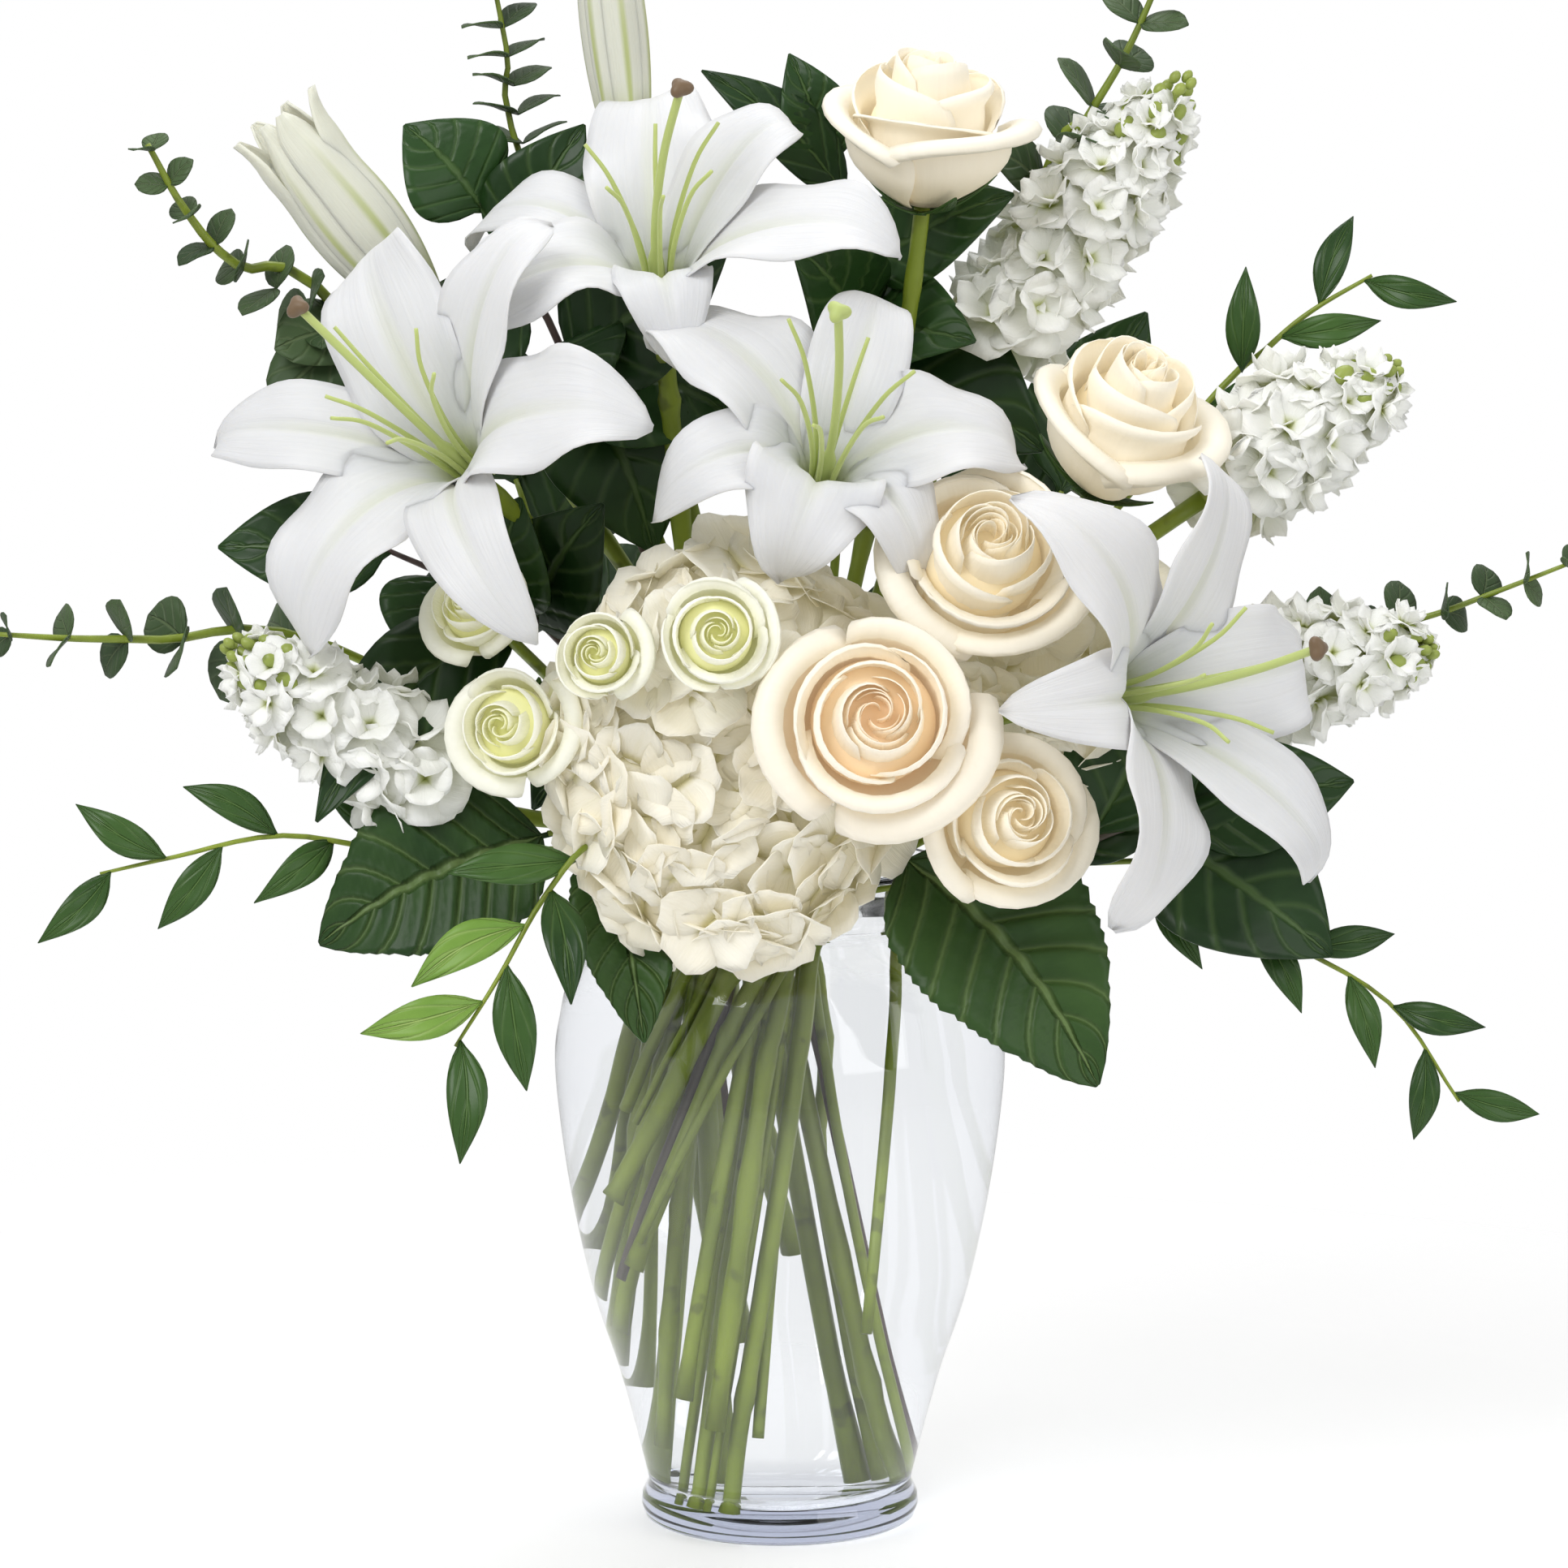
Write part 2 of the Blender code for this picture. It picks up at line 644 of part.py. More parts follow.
def petal_width(share, inner):
    """Half of a lily petal's width at a share of its length; inner petals are the broad ones."""
    widest = BROAD_PETAL if inner else SLIM_PETAL
    return max(PETAL_TIP, widest * math.sin(math.pi * min(1.0, 0.08 + 0.92 * share)) ** 0.75)


def lily_bloom(lily, collection, colour):
    """Six petals that rise from one small cup and curl back, as one thin solid."""
    bm = bmesh.new()
    rim = bmesh.ops.create_circle(bm, cap_ends=True, segments=CUP_SEGMENTS, radius=LILY_CUP)["verts"]
    turn = frame_of(lily.face)
    for k, (reach, rise) in enumerate(lily.petals):
        angle = math.radians(lily.roll + 60 * k)
        rail = [rim[(2 * k + i) % CUP_SEGMENTS] for i in range(3)]
        rows = []
        for share in PETAL_ROWS:
            out, up = petal_line(reach * 0.001, rise * 0.001, share)
            half = min(petal_width(share, k % 2 == 0), out * 0.48)
            row = []
            for side in (-1, 0, 1):
                lift = 0.10 * half * abs(side)
                row.append(Vector((out, side * half, up + lift)))
            rows.append([Matrix.Rotation(angle, 3, "Z") @ p for p in row])
        for i, v in enumerate(rail):
            v.co = Matrix.Rotation(angle, 3, "Z") @ Vector((LILY_CUP, (i - 1) * PETAL_ROOT, 0))
        grow(bm, rail, rows)
    bmesh.ops.recalc_face_normals(bm, faces=bm.faces)
    mesh = bpy.data.meshes.new(lily.name)
    bm.to_mesh(mesh)
    bm.free()
    mesh.transform(Matrix.Translation(lily.base) @ turn.to_4x4())
    made = add_object(lily.name, mesh, colour, collection)
    shell = made.modifiers.new("Petals", "SOLIDIFY")
    shell.thickness = PETAL_THICKNESS
    shell.offset = 0
    return made


def head_profile(radius, height, neck):
    """A rose's outline from the top of its axis down to the stem: a full cup with a rounded heart."""
    return (
        (0, height * 0.97), (radius * 0.42, height), (radius * 0.80, height * 0.93), (radius, height * 0.74),
        (radius * 0.93, height * 0.46), (radius * 0.62, height * 0.17), (neck, 0.0), (0, 0),
    )


def turned_head(name, base, face, profile, steps, colour, collection):
    """A turned solid seated on its stem and looking along its face."""
    made = turned(name, profile, steps, colour, collection)
    made.matrix_world = Matrix.Translation(base) @ frame_of(face).to_4x4()
    return made


def spike_head(spike, collection, colour):
    """A spike of stock as a tapering column, lumpy where its florets stand out."""
    axis = spike.tip - spike.base
    length = axis.length
    profile = [(0, length)]
    rings = 7
    for i in range(rings):
        share = 1 - (i + 0.4) / rings
        swell = math.sin(math.pi * min(1.0, 0.16 + 0.9 * (1 - share))) ** 0.5
        bump = 1.0 if i % 2 else 0.88
        profile.append((max(spike.radius * swell * bump, 0.004), length * share))
    profile += [(spike.stem_radius + 0.001, 0.0), (0, 0)]
    return turned_head(spike.name, spike.base, axis, profile, SPIKE_STEPS, colour, collection)


def hydrangea_head(name, centre, half, collection, colour):
    """A ball of florets, lumpy by one rule all over."""
    bm = bmesh.new()
    bmesh.ops.create_icosphere(bm, subdivisions=3, radius=1.0)
    for v in bm.verts:
        lump = math.sin(9 * v.co.x + 4 * v.co.z) * math.sin(8 * v.co.y - 5 * v.co.z)
        v.co = Vector(a * b for a, b in zip(v.co, half)) * (1 + 0.045 * lump) + centre
    return add_object(name, mesh_from(bm, name), colour, collection)


def bud_profile(length, radius):
    """A lily bud's outline from its tip down."""
    shares = ((1, 0), (0.96, 0.30), (0.80, 0.78), (0.55, 1.0), (0.30, 0.82), (0.10, 0.50))
    return [(radius * r, length * s) for s, r in shares] + [(BUD_SEAT, 0.0), (0, 0)]


# ---------------------------------------------------------------- leaves


def leaf_width(kind, share):
    """The share of its full half width that a leaf has at a share of its length."""
    if kind == "eucalyptus":
        return max(0.22, math.sin(math.pi * (0.06 + 0.88 * share)) ** 0.6)
    if kind == "ruscus":
        return max(0.08, math.sin(math.pi * min(1.0, share**0.8)) ** 0.9)
    return max(0.06, math.sin(math.pi * share**0.72) ** 0.85)


def blade(start, tip, half_width, normal, kind, rows, columns, bend):
    """A thin leaf from its start to its tip, bent along its length, as a closed mesh."""
    along = tip - start
    side = normal.cross(along).normalized()
    lift = along.cross(side).normalized() * along.length * bend
    bm = bmesh.new()
    bmesh.ops.create_grid(bm, x_segments=columns, y_segments=rows, size=1.0)
    for v in bm.verts:
        share, across = (v.co.y + 1) / 2, v.co.x
        arch = math.sin(math.pi * share)
        cup = abs(across) * half_width * 0.16 * leaf_width(kind, share)
        v.co = (
            start + along * share + side * across * half_width * leaf_width(kind, share)
            + lift * arch + along.cross(side).normalized() * cup
        )
    bm.normal_update()
    bmesh.ops.solidify(bm, geom=list(bm.faces), thickness=LEAF_THICKNESS)
    return mesh_from(bm, "blade")


def leaves_of(branch, spray):
    """Each leaf of a branch as (start, tip, half width, normal, kind), by its kind's rule."""
    if branch.leaves:
        made = []
        for leaf in branch.leaves:
            start, _ = point_at(spray, leaf.start)
            out = leaf.tip - start
            level = Vector((0, -1, 0)) if start.y < 0.03 else Vector((0, 1, 0))
            normal = (level + Vector((0, 0, 0.45))).normalized()
            made.append((start, leaf.tip, leaf.width / 2, normal - normal.project(out), branch.kind))
        return made
    made = []
    big, small = branch.size
    for i in range(branch.pairs):
        share = (i + 0.6) / (branch.pairs - 0.2)
        start, ahead = point_at(spray, share)
        size = big + (small - big) * share
        across = Vector((0, -1, 0.25)).cross(ahead).normalized()
        facing = ahead.cross(across).normalized()
        if branch.kind == "eucalyptus":
            angle = math.radians(branch.turn + 90 * i)
            out = across * math.cos(angle) + facing * math.sin(angle)
            for sign in (-1, 1):
                tip = start + (out * sign + ahead * 0.35).normalized() * size
                root = start + out * sign * branch.radius * 0.35
                made.append((root, tip, size * 0.46, ahead, branch.kind))
        else:
            sign = 1 if i % 2 else -1
            swing = math.radians(38 + 6 * math.sin(2.1 * i))
            out = ahead * math.cos(swing) + across * sign * math.sin(swing)
            out = (out + facing * 0.22 * math.sin(1.7 * i)).normalized()
            made.append((start, start + out * size, size * 0.155, facing, branch.kind))
    return made


def branch_stem(branch, route, collection, colour):
    """A branch's bare stem, from the vase to its tip."""
    spray = smooth_curve(branch.points, 5)
    line = simplified(route, LINE_TOLERANCE)[:-1] + simplified(spray, LINE_TOLERANCE)
    return tube(branch.name, uncrowded(line, 4 * branch.radius), branch.radius, colour, collection)


def add_leaves(branch, stem, colour, cutters):
    """Joins a branch's leaves onto its stem."""
    spray = smooth_curve(branch.points, 5)
    columns = 1 if branch.kind in ("eucalyptus", "ruscus") else 2
    rows = 2 if columns == 1 else 3
    bend = {"eucalyptus": 0.02, "ruscus": 0.05, "salal": 0.07, "broad": 0.08}[branch.kind]
    for i, (start, tip, half, normal, kind) in enumerate(leaves_of(branch, spray)):
        mesh = blade(start, tip, half, normal, kind, rows, columns, bend)
        leaf = add_object(f"{branch.name}_leaf_{i}", mesh, colour, cutters)
        boolean(stem, leaf, "UNION")
        bpy.data.objects.remove(leaf)


# ---------------------------------------------------------------- fitting together


def tree_of(obj):
    """A search tree of the object's surface and its box, in world space."""
    mesh = obj.data
    points = [obj.matrix_world @ v.co for v in mesh.vertices]
    low = Vector([min(p[k] for p in points) for k in range(3)])
    high = Vector([max(p[k] for p in points) for k in range(3)])
    return BVHTree.FromPolygons(points, [tuple(p.vertices) for p in mesh.polygons]), low, high


def fattened(obj, cutters, margin):
    """A copy of an object, larger by the margin on every side, for cutting its neighbours."""
    mesh = obj.data.copy()
    normals = [v.normal.copy() for v in mesh.vertices]
    for v, n in zip(mesh.vertices, normals):
        v.co += n * margin
    made = bpy.data.objects.new(obj.name + "_cutter", mesh)
    cutters.objects.link(made)
    return made


class Fitting:
    """What already has its place. A new soft piece is cut clear of all of it, and then joins it."""

    def __init__(self, cutters):
        self.cutters = cutters
        self.placed = []

    def hold(self, obj, margin=GAP):
        """Adds a piece that keeps its shape."""
        cutter = fattened(obj, self.cutters, margin)
        self.placed.append((obj, tree_of(cutter), cutter))

    def release(self, obj):
        """Takes a piece out again, because it's about to change."""
        self.placed = [entry for entry in self.placed if entry[0] is not obj]

    def fit(self, obj):
        """Cuts a soft piece clear of everything that is placed, and then places it."""
        own, low, high = tree_of(obj)
        for _, (tree, other_low, other_high), cutter in self.placed:
            if any(low[k] > other_high[k] or high[k] < other_low[k] for k in range(3)):
                continue
            if own.overlap(tree):
                boolean(obj, cutter, "DIFFERENCE")
        keep_largest_body(obj)
        self.hold(obj)


def apply_modifiers(obj):
    """Leaves the object as a plain mesh in world space."""
    colour = obj.data.materials[0]
    mesh = evaluated_mesh(obj)
    obj.modifiers.clear()
    obj.data = mesh
    obj.matrix_world = Matrix.Identity(4)
    if not mesh.materials:
        mesh.materials.append(colour)


def all_stems():
    """Every cut stem that carries a head, and the stem of every branch."""
    stems = []
    for lily in LILIES:
        stems.append(Stem(lily.name + "_stem", lily.base, lily.face, lily.stem_radius, lily.ring, lily.foot))
    for rose in ROSES:
        stems.append(Stem(rose.name + "_stem", rose.base, rose.face, rose.stem_radius, rose.ring, rose.foot))
    for spike in SPIKES:
        face = (spike.tip - spike.base).normalized()
        stems.append(Stem(spike.name + "_stem", spike.base, face, spike.stem_radius, spike.ring, spike.foot))
    for name, centre, half, ring, foot in HYDRANGEAS:
        face = Vector((centre.x * 0.4, centre.y, 0.04)).normalized()
        inside = centre - face * half.y * 0.35
        stems.append(Stem(name + "_stem", inside, face, HYDRANGEA_STEM, ring, foot))
    for name, base, tip, _, ring, foot in BUDS:
        stems.append(Stem(name + "_stem", base, (tip - base).normalized(), BUD_STEM, ring, foot))
    for branch in BRANCHES:
        spray = smooth_curve(branch.points, 5)
        stems.append(Stem(branch.name, spray[0], (spray[1] - spray[0]).normalized(), branch.radius,
                          branch.ring, branch.foot, tuple(even_spacing(spray, ROUTE_STEP)[1:])))
    return stems


def build():
    """Makes every object of the arrangement."""
    for obj in list(bpy.data.objects):
        bpy.data.objects.remove(obj)
    scene = bpy.context.scene.collection
    parts = bpy.data.collections.new("lilies_in_vase")
    cutters = bpy.data.collections.new("cutters")
    scene.children.link(parts)
    scene.children.link(cutters)

    white = material("petal_white", PETAL_WHITE, 0.55)
    cream = material("petal_cream", PETAL_CREAM, 0.55)
    green = material("leaf", LEAF_GREEN, 0.45)
    stalk = material("stem", STEM_GREEN, 0.5)
    bud = material("bud", BUD_GREEN, 0.5)
    clear = material("glass", GLASS_CLEAR, 0.02, 1.0)

    glass = vase(parts, clear)
    apply_modifiers(glass)
    blank = vase_blank(cutters, clear)

    stems = all_stems()
    routes = dict(zip([s.name for s in stems], spread_apart(stems)))
    radii = {s.name: s.radius for s in stems}
    branch_names = {b.name for b in BRANCHES}
    fitting = Fitting(cutters)
    fitting.hold(glass)
    for name, route in routes.items():
        if name in branch_names:
            continue
        end = route[-1] - (route[-1] - route[-2]).normalized() * GAP
        line = uncrowded(simplified(route[:-1] + [end], LINE_TOLERANCE), 2 * radii[name])
        fitting.hold(tube(name, line, radii[name], stalk, parts))
    branches = [(b, branch_stem(b, routes[b.name], parts, green)) for b in BRANCHES]
    for _, stem in branches:
        fitting.hold(stem, TUNNEL)

    heads = [lily_bloom(lily, parts, white) for lily in LILIES]
    for name, base, tip, radius, _, _ in BUDS:
        profile = bud_profile((tip - base).length, radius)
        heads.append(turned_head(name, base, tip - base, profile, BUD_STEPS, bud, parts))
    for rose in ROSES:
        profile = head_profile(rose.radius, rose.height, rose.stem_radius + SEAT_MARGIN)
        heads.append(turned_head(rose.name, rose.base, rose.face, profile, ROSE_STEPS, cream, parts))
    heads += [spike_head(spike, parts, white) for spike in SPIKES]
    for name, centre, half, _, _ in HYDRANGEAS:
        heads.append(hydrangea_head(name, centre, half, parts, white))
    for head in heads:
        apply_modifiers(head)
    for obj in heads[-len(HYDRANGEAS):]:
        boolean(obj, blank, "DIFFERENCE")
    for head in heads:
        fitting.fit(head)
    for branch, stem in branches:
        fitting.release(stem)
        add_leaves(branch, stem, green, cutters)
        fitting.fit(stem)
    for obj in cutters.objects:
        obj.hide_render = True
        obj.display_type = "WIRE"


build()
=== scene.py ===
"""Lilies, roses, hydrangea, stock and greenery in a clear glass vase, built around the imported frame.

Everything is in metres, with +Z up and the front towards -Y. Flowers sit on the tops of the frame's
stems and look along them. Branches follow the frame's stems through the vase and their own points above.
"""

import logging
import math
import random
from dataclasses import dataclass
from enum import Enum
from functools import cache
from typing import Callable, Optional, Sequence, Union

import bmesh
import bpy
from mathutils import Matrix, Vector, noise
from mathutils.kdtree import KDTree


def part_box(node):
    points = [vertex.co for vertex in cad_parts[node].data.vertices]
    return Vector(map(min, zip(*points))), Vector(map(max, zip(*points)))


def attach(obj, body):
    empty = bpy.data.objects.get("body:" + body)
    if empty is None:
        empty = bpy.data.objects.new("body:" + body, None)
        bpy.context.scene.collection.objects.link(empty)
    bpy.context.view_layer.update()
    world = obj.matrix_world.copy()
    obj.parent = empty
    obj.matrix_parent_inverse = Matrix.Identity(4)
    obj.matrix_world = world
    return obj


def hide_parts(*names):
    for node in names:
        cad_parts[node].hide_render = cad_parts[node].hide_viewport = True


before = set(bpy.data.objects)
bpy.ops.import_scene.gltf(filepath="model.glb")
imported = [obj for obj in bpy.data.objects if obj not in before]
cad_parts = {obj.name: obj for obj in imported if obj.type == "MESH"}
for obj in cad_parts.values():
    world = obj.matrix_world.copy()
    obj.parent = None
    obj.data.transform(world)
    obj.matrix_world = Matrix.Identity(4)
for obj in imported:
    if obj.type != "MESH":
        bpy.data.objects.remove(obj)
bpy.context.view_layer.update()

log = logging.getLogger("bouquet")

Colour = tuple[float, float, float, float]
Place = Callable[[float, float], Vector]
Sheets = bmesh.types.BMesh

BODY = "root"
MM = 0.001
GOLDEN = math.pi * (3 - math.sqrt(5))
UPRIGHT = 0.02
MERGE = 1e-6
TUBE_SIDES = 6
RING_REACH = 1.35
NECK_REACH = 0.074
LIP_SLACK = 0.004
THICK_PETAL, BUD_PETAL, ROSE_PETAL, THIN_PETAL = 0.0006, 0.0007, 0.00035, 0.0003


def mm(x: float, y: float, z: float) -> Vector:
    """A point given in millimetres, in metres."""
    return Vector((x, y, z)) * MM


# ---------------------------------------------------------------- shader expressions


Number = Union["Value", float]


def maths(operation: str, swapped: bool = False) -> Callable[..., "Value"]:
    """A method of Value that adds one Math node.

    Args:
        operation: The node's operation.
        swapped: Whether its values change places, as in a reflected operator.

    Returns:
        The method.
    """

    def method(*values: Number) -> "Value":
        return values[0].graph.math(operation, *(values[::-1] if swapped else values))

    return method


class Value:
    """A shader socket that can stand in an expression. Each operator adds a Math node."""

    def __init__(self, graph: "Graph", socket: bpy.types.NodeSocket) -> None:
        """Wraps a socket of a graph."""
        self.graph = graph
        self.socket = socket

    __add__, __radd__ = maths("ADD"), maths("ADD", True)
    __sub__, __rsub__ = maths("SUBTRACT"), maths("SUBTRACT", True)
    __mul__, __rmul__ = maths("MULTIPLY"), maths("MULTIPLY", True)
    __abs__ = maths("ABSOLUTE")

    def clamped(self) -> "Value":
        """The value held between 0 and 1."""
        return self.graph.math("MINIMUM", self.graph.math("MAXIMUM", self, 0.0), 1.0)


class Graph:
    """A node tree that is built up by expressions."""

    def __init__(self, tree: bpy.types.NodeTree) -> None:
        """Starts on a tree."""
        self.tree = tree

    def feed(self, socket: bpy.types.NodeSocket, value: object) -> None:
        """Links or sets one input."""
        if isinstance(value, Value):
            self.tree.links.new(value.socket, socket)
        else:
            socket.default_value = value

    def node(self, kind: str, settings: Optional[dict] = None, inputs: Optional[dict] = None,
             output: Union[int, str] = 0) -> Value:
        """Adds any node.

        Args:
            kind: The node's type without its ShaderNode prefix.
            settings: Its properties, which are set first.
            inputs: Values or links by the inputs' names or numbers.
            output: The output to return.

        Returns:
            The wanted output.
        """
        made = self.tree.nodes.new("ShaderNode" + kind)
        for key, value in (settings or {}).items():
            setattr(made, key, value)
        for key, value in (inputs or {}).items():
            self.feed(made.inputs[key], value)
        return Value(self, made.outputs[output])

    def math(self, operation: str, *values: Number) -> Value:
        """A Math node on values."""
        return self.node("Math", {"operation": operation}, dict(enumerate(values)))

    def mix(self, factor: Number, a: object, b: object) -> Value:
        """A mix of two colours."""
        return self.node("Mix", {"data_type": "RGBA"}, {0: factor, 6: a, 7: b}, 2)

    def step(self, value: Value, low: float, high: float) -> Value:
        """A smooth step from 0 at low to 1 at high."""
        settings = {"interpolation_type": "SMOOTHSTEP"}
        return self.node("MapRange", settings, {0: value, 1: low, 2: high})

    def noise(self, scale: float, detail: float = 3.0, vector: Optional[Value] = None) -> Value:
        """Soft noise, on object coordinates unless a vector is given."""
        where = vector or self.node("TexCoord", output="Object")
        return self.node("TexNoise", None, {"Vector": where, "Scale": scale, "Detail": detail})


class Surface(Graph):
    """A material's tree with a Principled shader."""

    def __init__(self, name: str, roughness: float) -> None:
        """Starts a material.

        Args:
            name: The material's name.
            roughness: Its roughness where nothing varies it.
        """
        self.material = bpy.data.materials.new(name)
        self.material.use_nodes = True
        super().__init__(self.material.node_tree)
        self.tree.nodes.clear()
        self.output = self.tree.nodes.new("ShaderNodeOutputMaterial")
        self.shader = self.tree.nodes.new("ShaderNodeBsdfPrincipled")
        self.fixed(Roughness=roughness)
        self.tree.links.new(self.shader.outputs[0], self.output.inputs["Surface"])

    def across(self) -> tuple[Value, Value]:
        """How far a point is from a blade's midline, 0 to 1, and how far along it is."""
        uv = self.node("UVMap", {"uv_map": "blade"})
        x, y = (self.node("SeparateXYZ", None, {0: uv}, axis) for axis in (0, 1))
        return abs(x * 2.0 - 1.0), y

    def stretched_uv(self, across: float, along: float) -> Value:
        """The blade's own coordinates, scaled for streaks that run along it."""
        uv = self.node("UVMap", {"uv_map": "blade"})
        return self.node("Mapping", None, {"Vector": uv, "Scale": (across, along, 1.0)})

    def tone(self) -> Value:
        """The petal's or leaf's own number, 0 to 1."""
        return self.node("Attribute", {"attribute_name": "tone"}, output="Fac")

    def bump(self, height: Value, distance: float, strength: float = 1.0) -> None:
        """Feeds a height into the shader's normal."""
        inputs = {"Height": height, "Distance": distance, "Strength": strength}
        self.feed(self.shader.inputs["Normal"], self.node("Bump", None, inputs))

    def fixed(self, **values: object) -> None:
        """Sets the shader's inputs that nothing varies, by their names with _ for spaces."""
        for name, value in values.items():
            self.shader.inputs[name.replace("_", " ")].default_value = value

    def colour(self, value: object) -> None:
        """Feeds the base colour."""
        self.feed(self.shader.inputs["Base Color"], value)

    def rough(self, value: object) -> None:
        """Feeds the roughness."""
        self.feed(self.shader.inputs["Roughness"], value)


# ---------------------------------------------------------------- finishes


@dataclass(frozen=True)
class PetalFinish:
    """Soft petals: a body colour, a heart colour near the base, and a colour that old parts turn to."""

    name: str
    body: Colour
    heart: Colour
    shade: Colour
    heart_reach: float = 0.35
    midrib: float = 0.0
    veins: float = 0.35
    inner_is_heart: float = 0.0
    uneven: float = 0.0
    glow: float = 0.4
    # Strength of the emission in the heart colour: a painted glow that lifts the petals' shade.
    painted_glow: float = 0.0

    def material(self) -> bpy.types.Material:
        """The material, with veins that run along each petal."""
        g = Surface(self.name, 0.55)
        side, along = g.across()
        tone = g.tone()
        streaks = g.noise(1.0, 4.0, g.stretched_uv(26.0, 1.6))
        cloud = g.noise(60.0)
        heart = 1.0 - g.step(along, 0.0, self.heart_reach)
        rib = (1.0 - g.step(side, 0.02, 0.22)) * (1.0 - g.step(along, 0.35, 0.95)) * self.midrib
        deep = (1.0 - g.step(tone, 0.0, 0.55)) * self.inner_is_heart
        warm = g.math("MAXIMUM", g.math("MAXIMUM", heart, rib), deep)
        shade = (streaks * 0.55 + cloud * 0.45 - 0.24).clamped() * self.veins + tone * self.uneven
        petal = g.mix(shade, self.body, self.shade)
        g.colour(g.mix(warm.clamped(), petal, self.heart))
        g.rough(streaks * 0.2 + 0.42)
        g.bump(streaks, 0.0006, 0.5)
        # The emission in the heart colour is a painted glow that warms and lifts the petals' shaded gaps.
        g.fixed(Sheen_Weight=0.15, Subsurface_Weight=self.glow, Subsurface_Radius=(1.0, 0.9, 0.75),
                Subsurface_Scale=0.003, Emission_Color=self.heart, Emission_Strength=self.painted_glow)
        return g.material


@dataclass(frozen=True)
class LeafFinish:
    """Leaves: a dark and a light green, a midrib, side veins, and how waxy they are."""

    name: str
    dark: Colour
    light: Colour
    rib: Colour
    roughness: float
    side_veins: float
    vein_depth: float = 0.0006

    def material(self) -> bpy.types.Material:
        """The material, with a midrib and slanted side veins."""
        g = Surface(self.name, self.roughness)
        side, along = g.across()
        cloud = g.noise(45.0, 5.0)
        tone = g.tone()
        slanted = (along * self.side_veins - side * 1.6) * math.tau
        vein = g.math("POWER", g.math("COSINE", slanted) * 0.5 + 0.5, 9.0)
        midrib = 1.0 - g.step(side, 0.02, 0.10)
        lines = g.math("MAXIMUM", vein * 0.55, midrib)
        g.fixed(Specular_IOR_Level=0.28)
        green = g.mix((cloud * 0.9 + tone * 0.6 - 0.35).clamped(), self.dark, self.light)
        g.colour(g.mix(lines * 0.42, green, self.rib))
        g.rough(cloud * 0.25 + (self.roughness - 0.12))
        g.bump(cloud * 0.4 - lines, self.vein_depth)
        return g.material


@dataclass(frozen=True)
class StemFinish:
    """Cut stems: two greens that change along them, and darker marks."""

    name: str
    light: Colour
    dark: Colour
    mark: Colour

    def material(self) -> bpy.types.Material:
        """The material."""
        g = Surface(self.name, 0.42)
        where = g.node("TexCoord", output="Object")
        along = g.node("Mapping", None, {"Vector": where, "Scale": (1.0, 1.0, 0.18)})
        streaks = g.noise(260.0, 4.0, along)
        cloud = g.noise(28.0, 3.0)
        marks = g.step(g.noise(90.0, 2.0), 0.62, 0.72)
        green = g.mix((cloud * 1.4 - 0.25).clamped(), self.dark, self.light)
        g.colour(g.mix(marks * 0.6, g.mix(streaks * 0.35, green, self.mark), self.mark))
        g.rough(streaks * 0.25 + 0.3)
        g.bump(streaks, 0.0007, 0.6)
        return g.material


@dataclass(frozen=True)
class ClearFinish:
    """A clear body that lets the lamps' light through: glass or water."""

    name: str
    tint: Colour
    ior: float
    ripple: float = 0.0
    depth_tint: Colour = (1, 1, 1, 1)
    density: float = 0.0
    mirror: float = 0.3

    def material(self) -> bpy.types.Material:
        """The material."""
        g = Surface(self.name, 0.0)
        g.fixed(Base_Color=self.tint, Transmission_Weight=1.0, IOR=self.ior, Specular_IOR_Level=self.mirror)
        if self.ripple:
            g.bump(g.noise(9.0, 1.0), self.ripple, 0.35)
        shadow = g.node("LightPath", output="Is Shadow Ray")
        clear = g.node("BsdfTransparent", None, {"Color": self.tint})
        made = g.node("MixShader", None, {0: shadow, 1: Value(g, g.shader.outputs[0]), 2: clear})
        g.tree.links.new(made.socket, g.output.inputs["Surface"])
        if self.density:
            inside = g.node("VolumeAbsorption", None, {"Color": self.depth_tint, "Density": self.density})
            g.tree.links.new(inside.socket, g.output.inputs["Volume"])
        return g.material


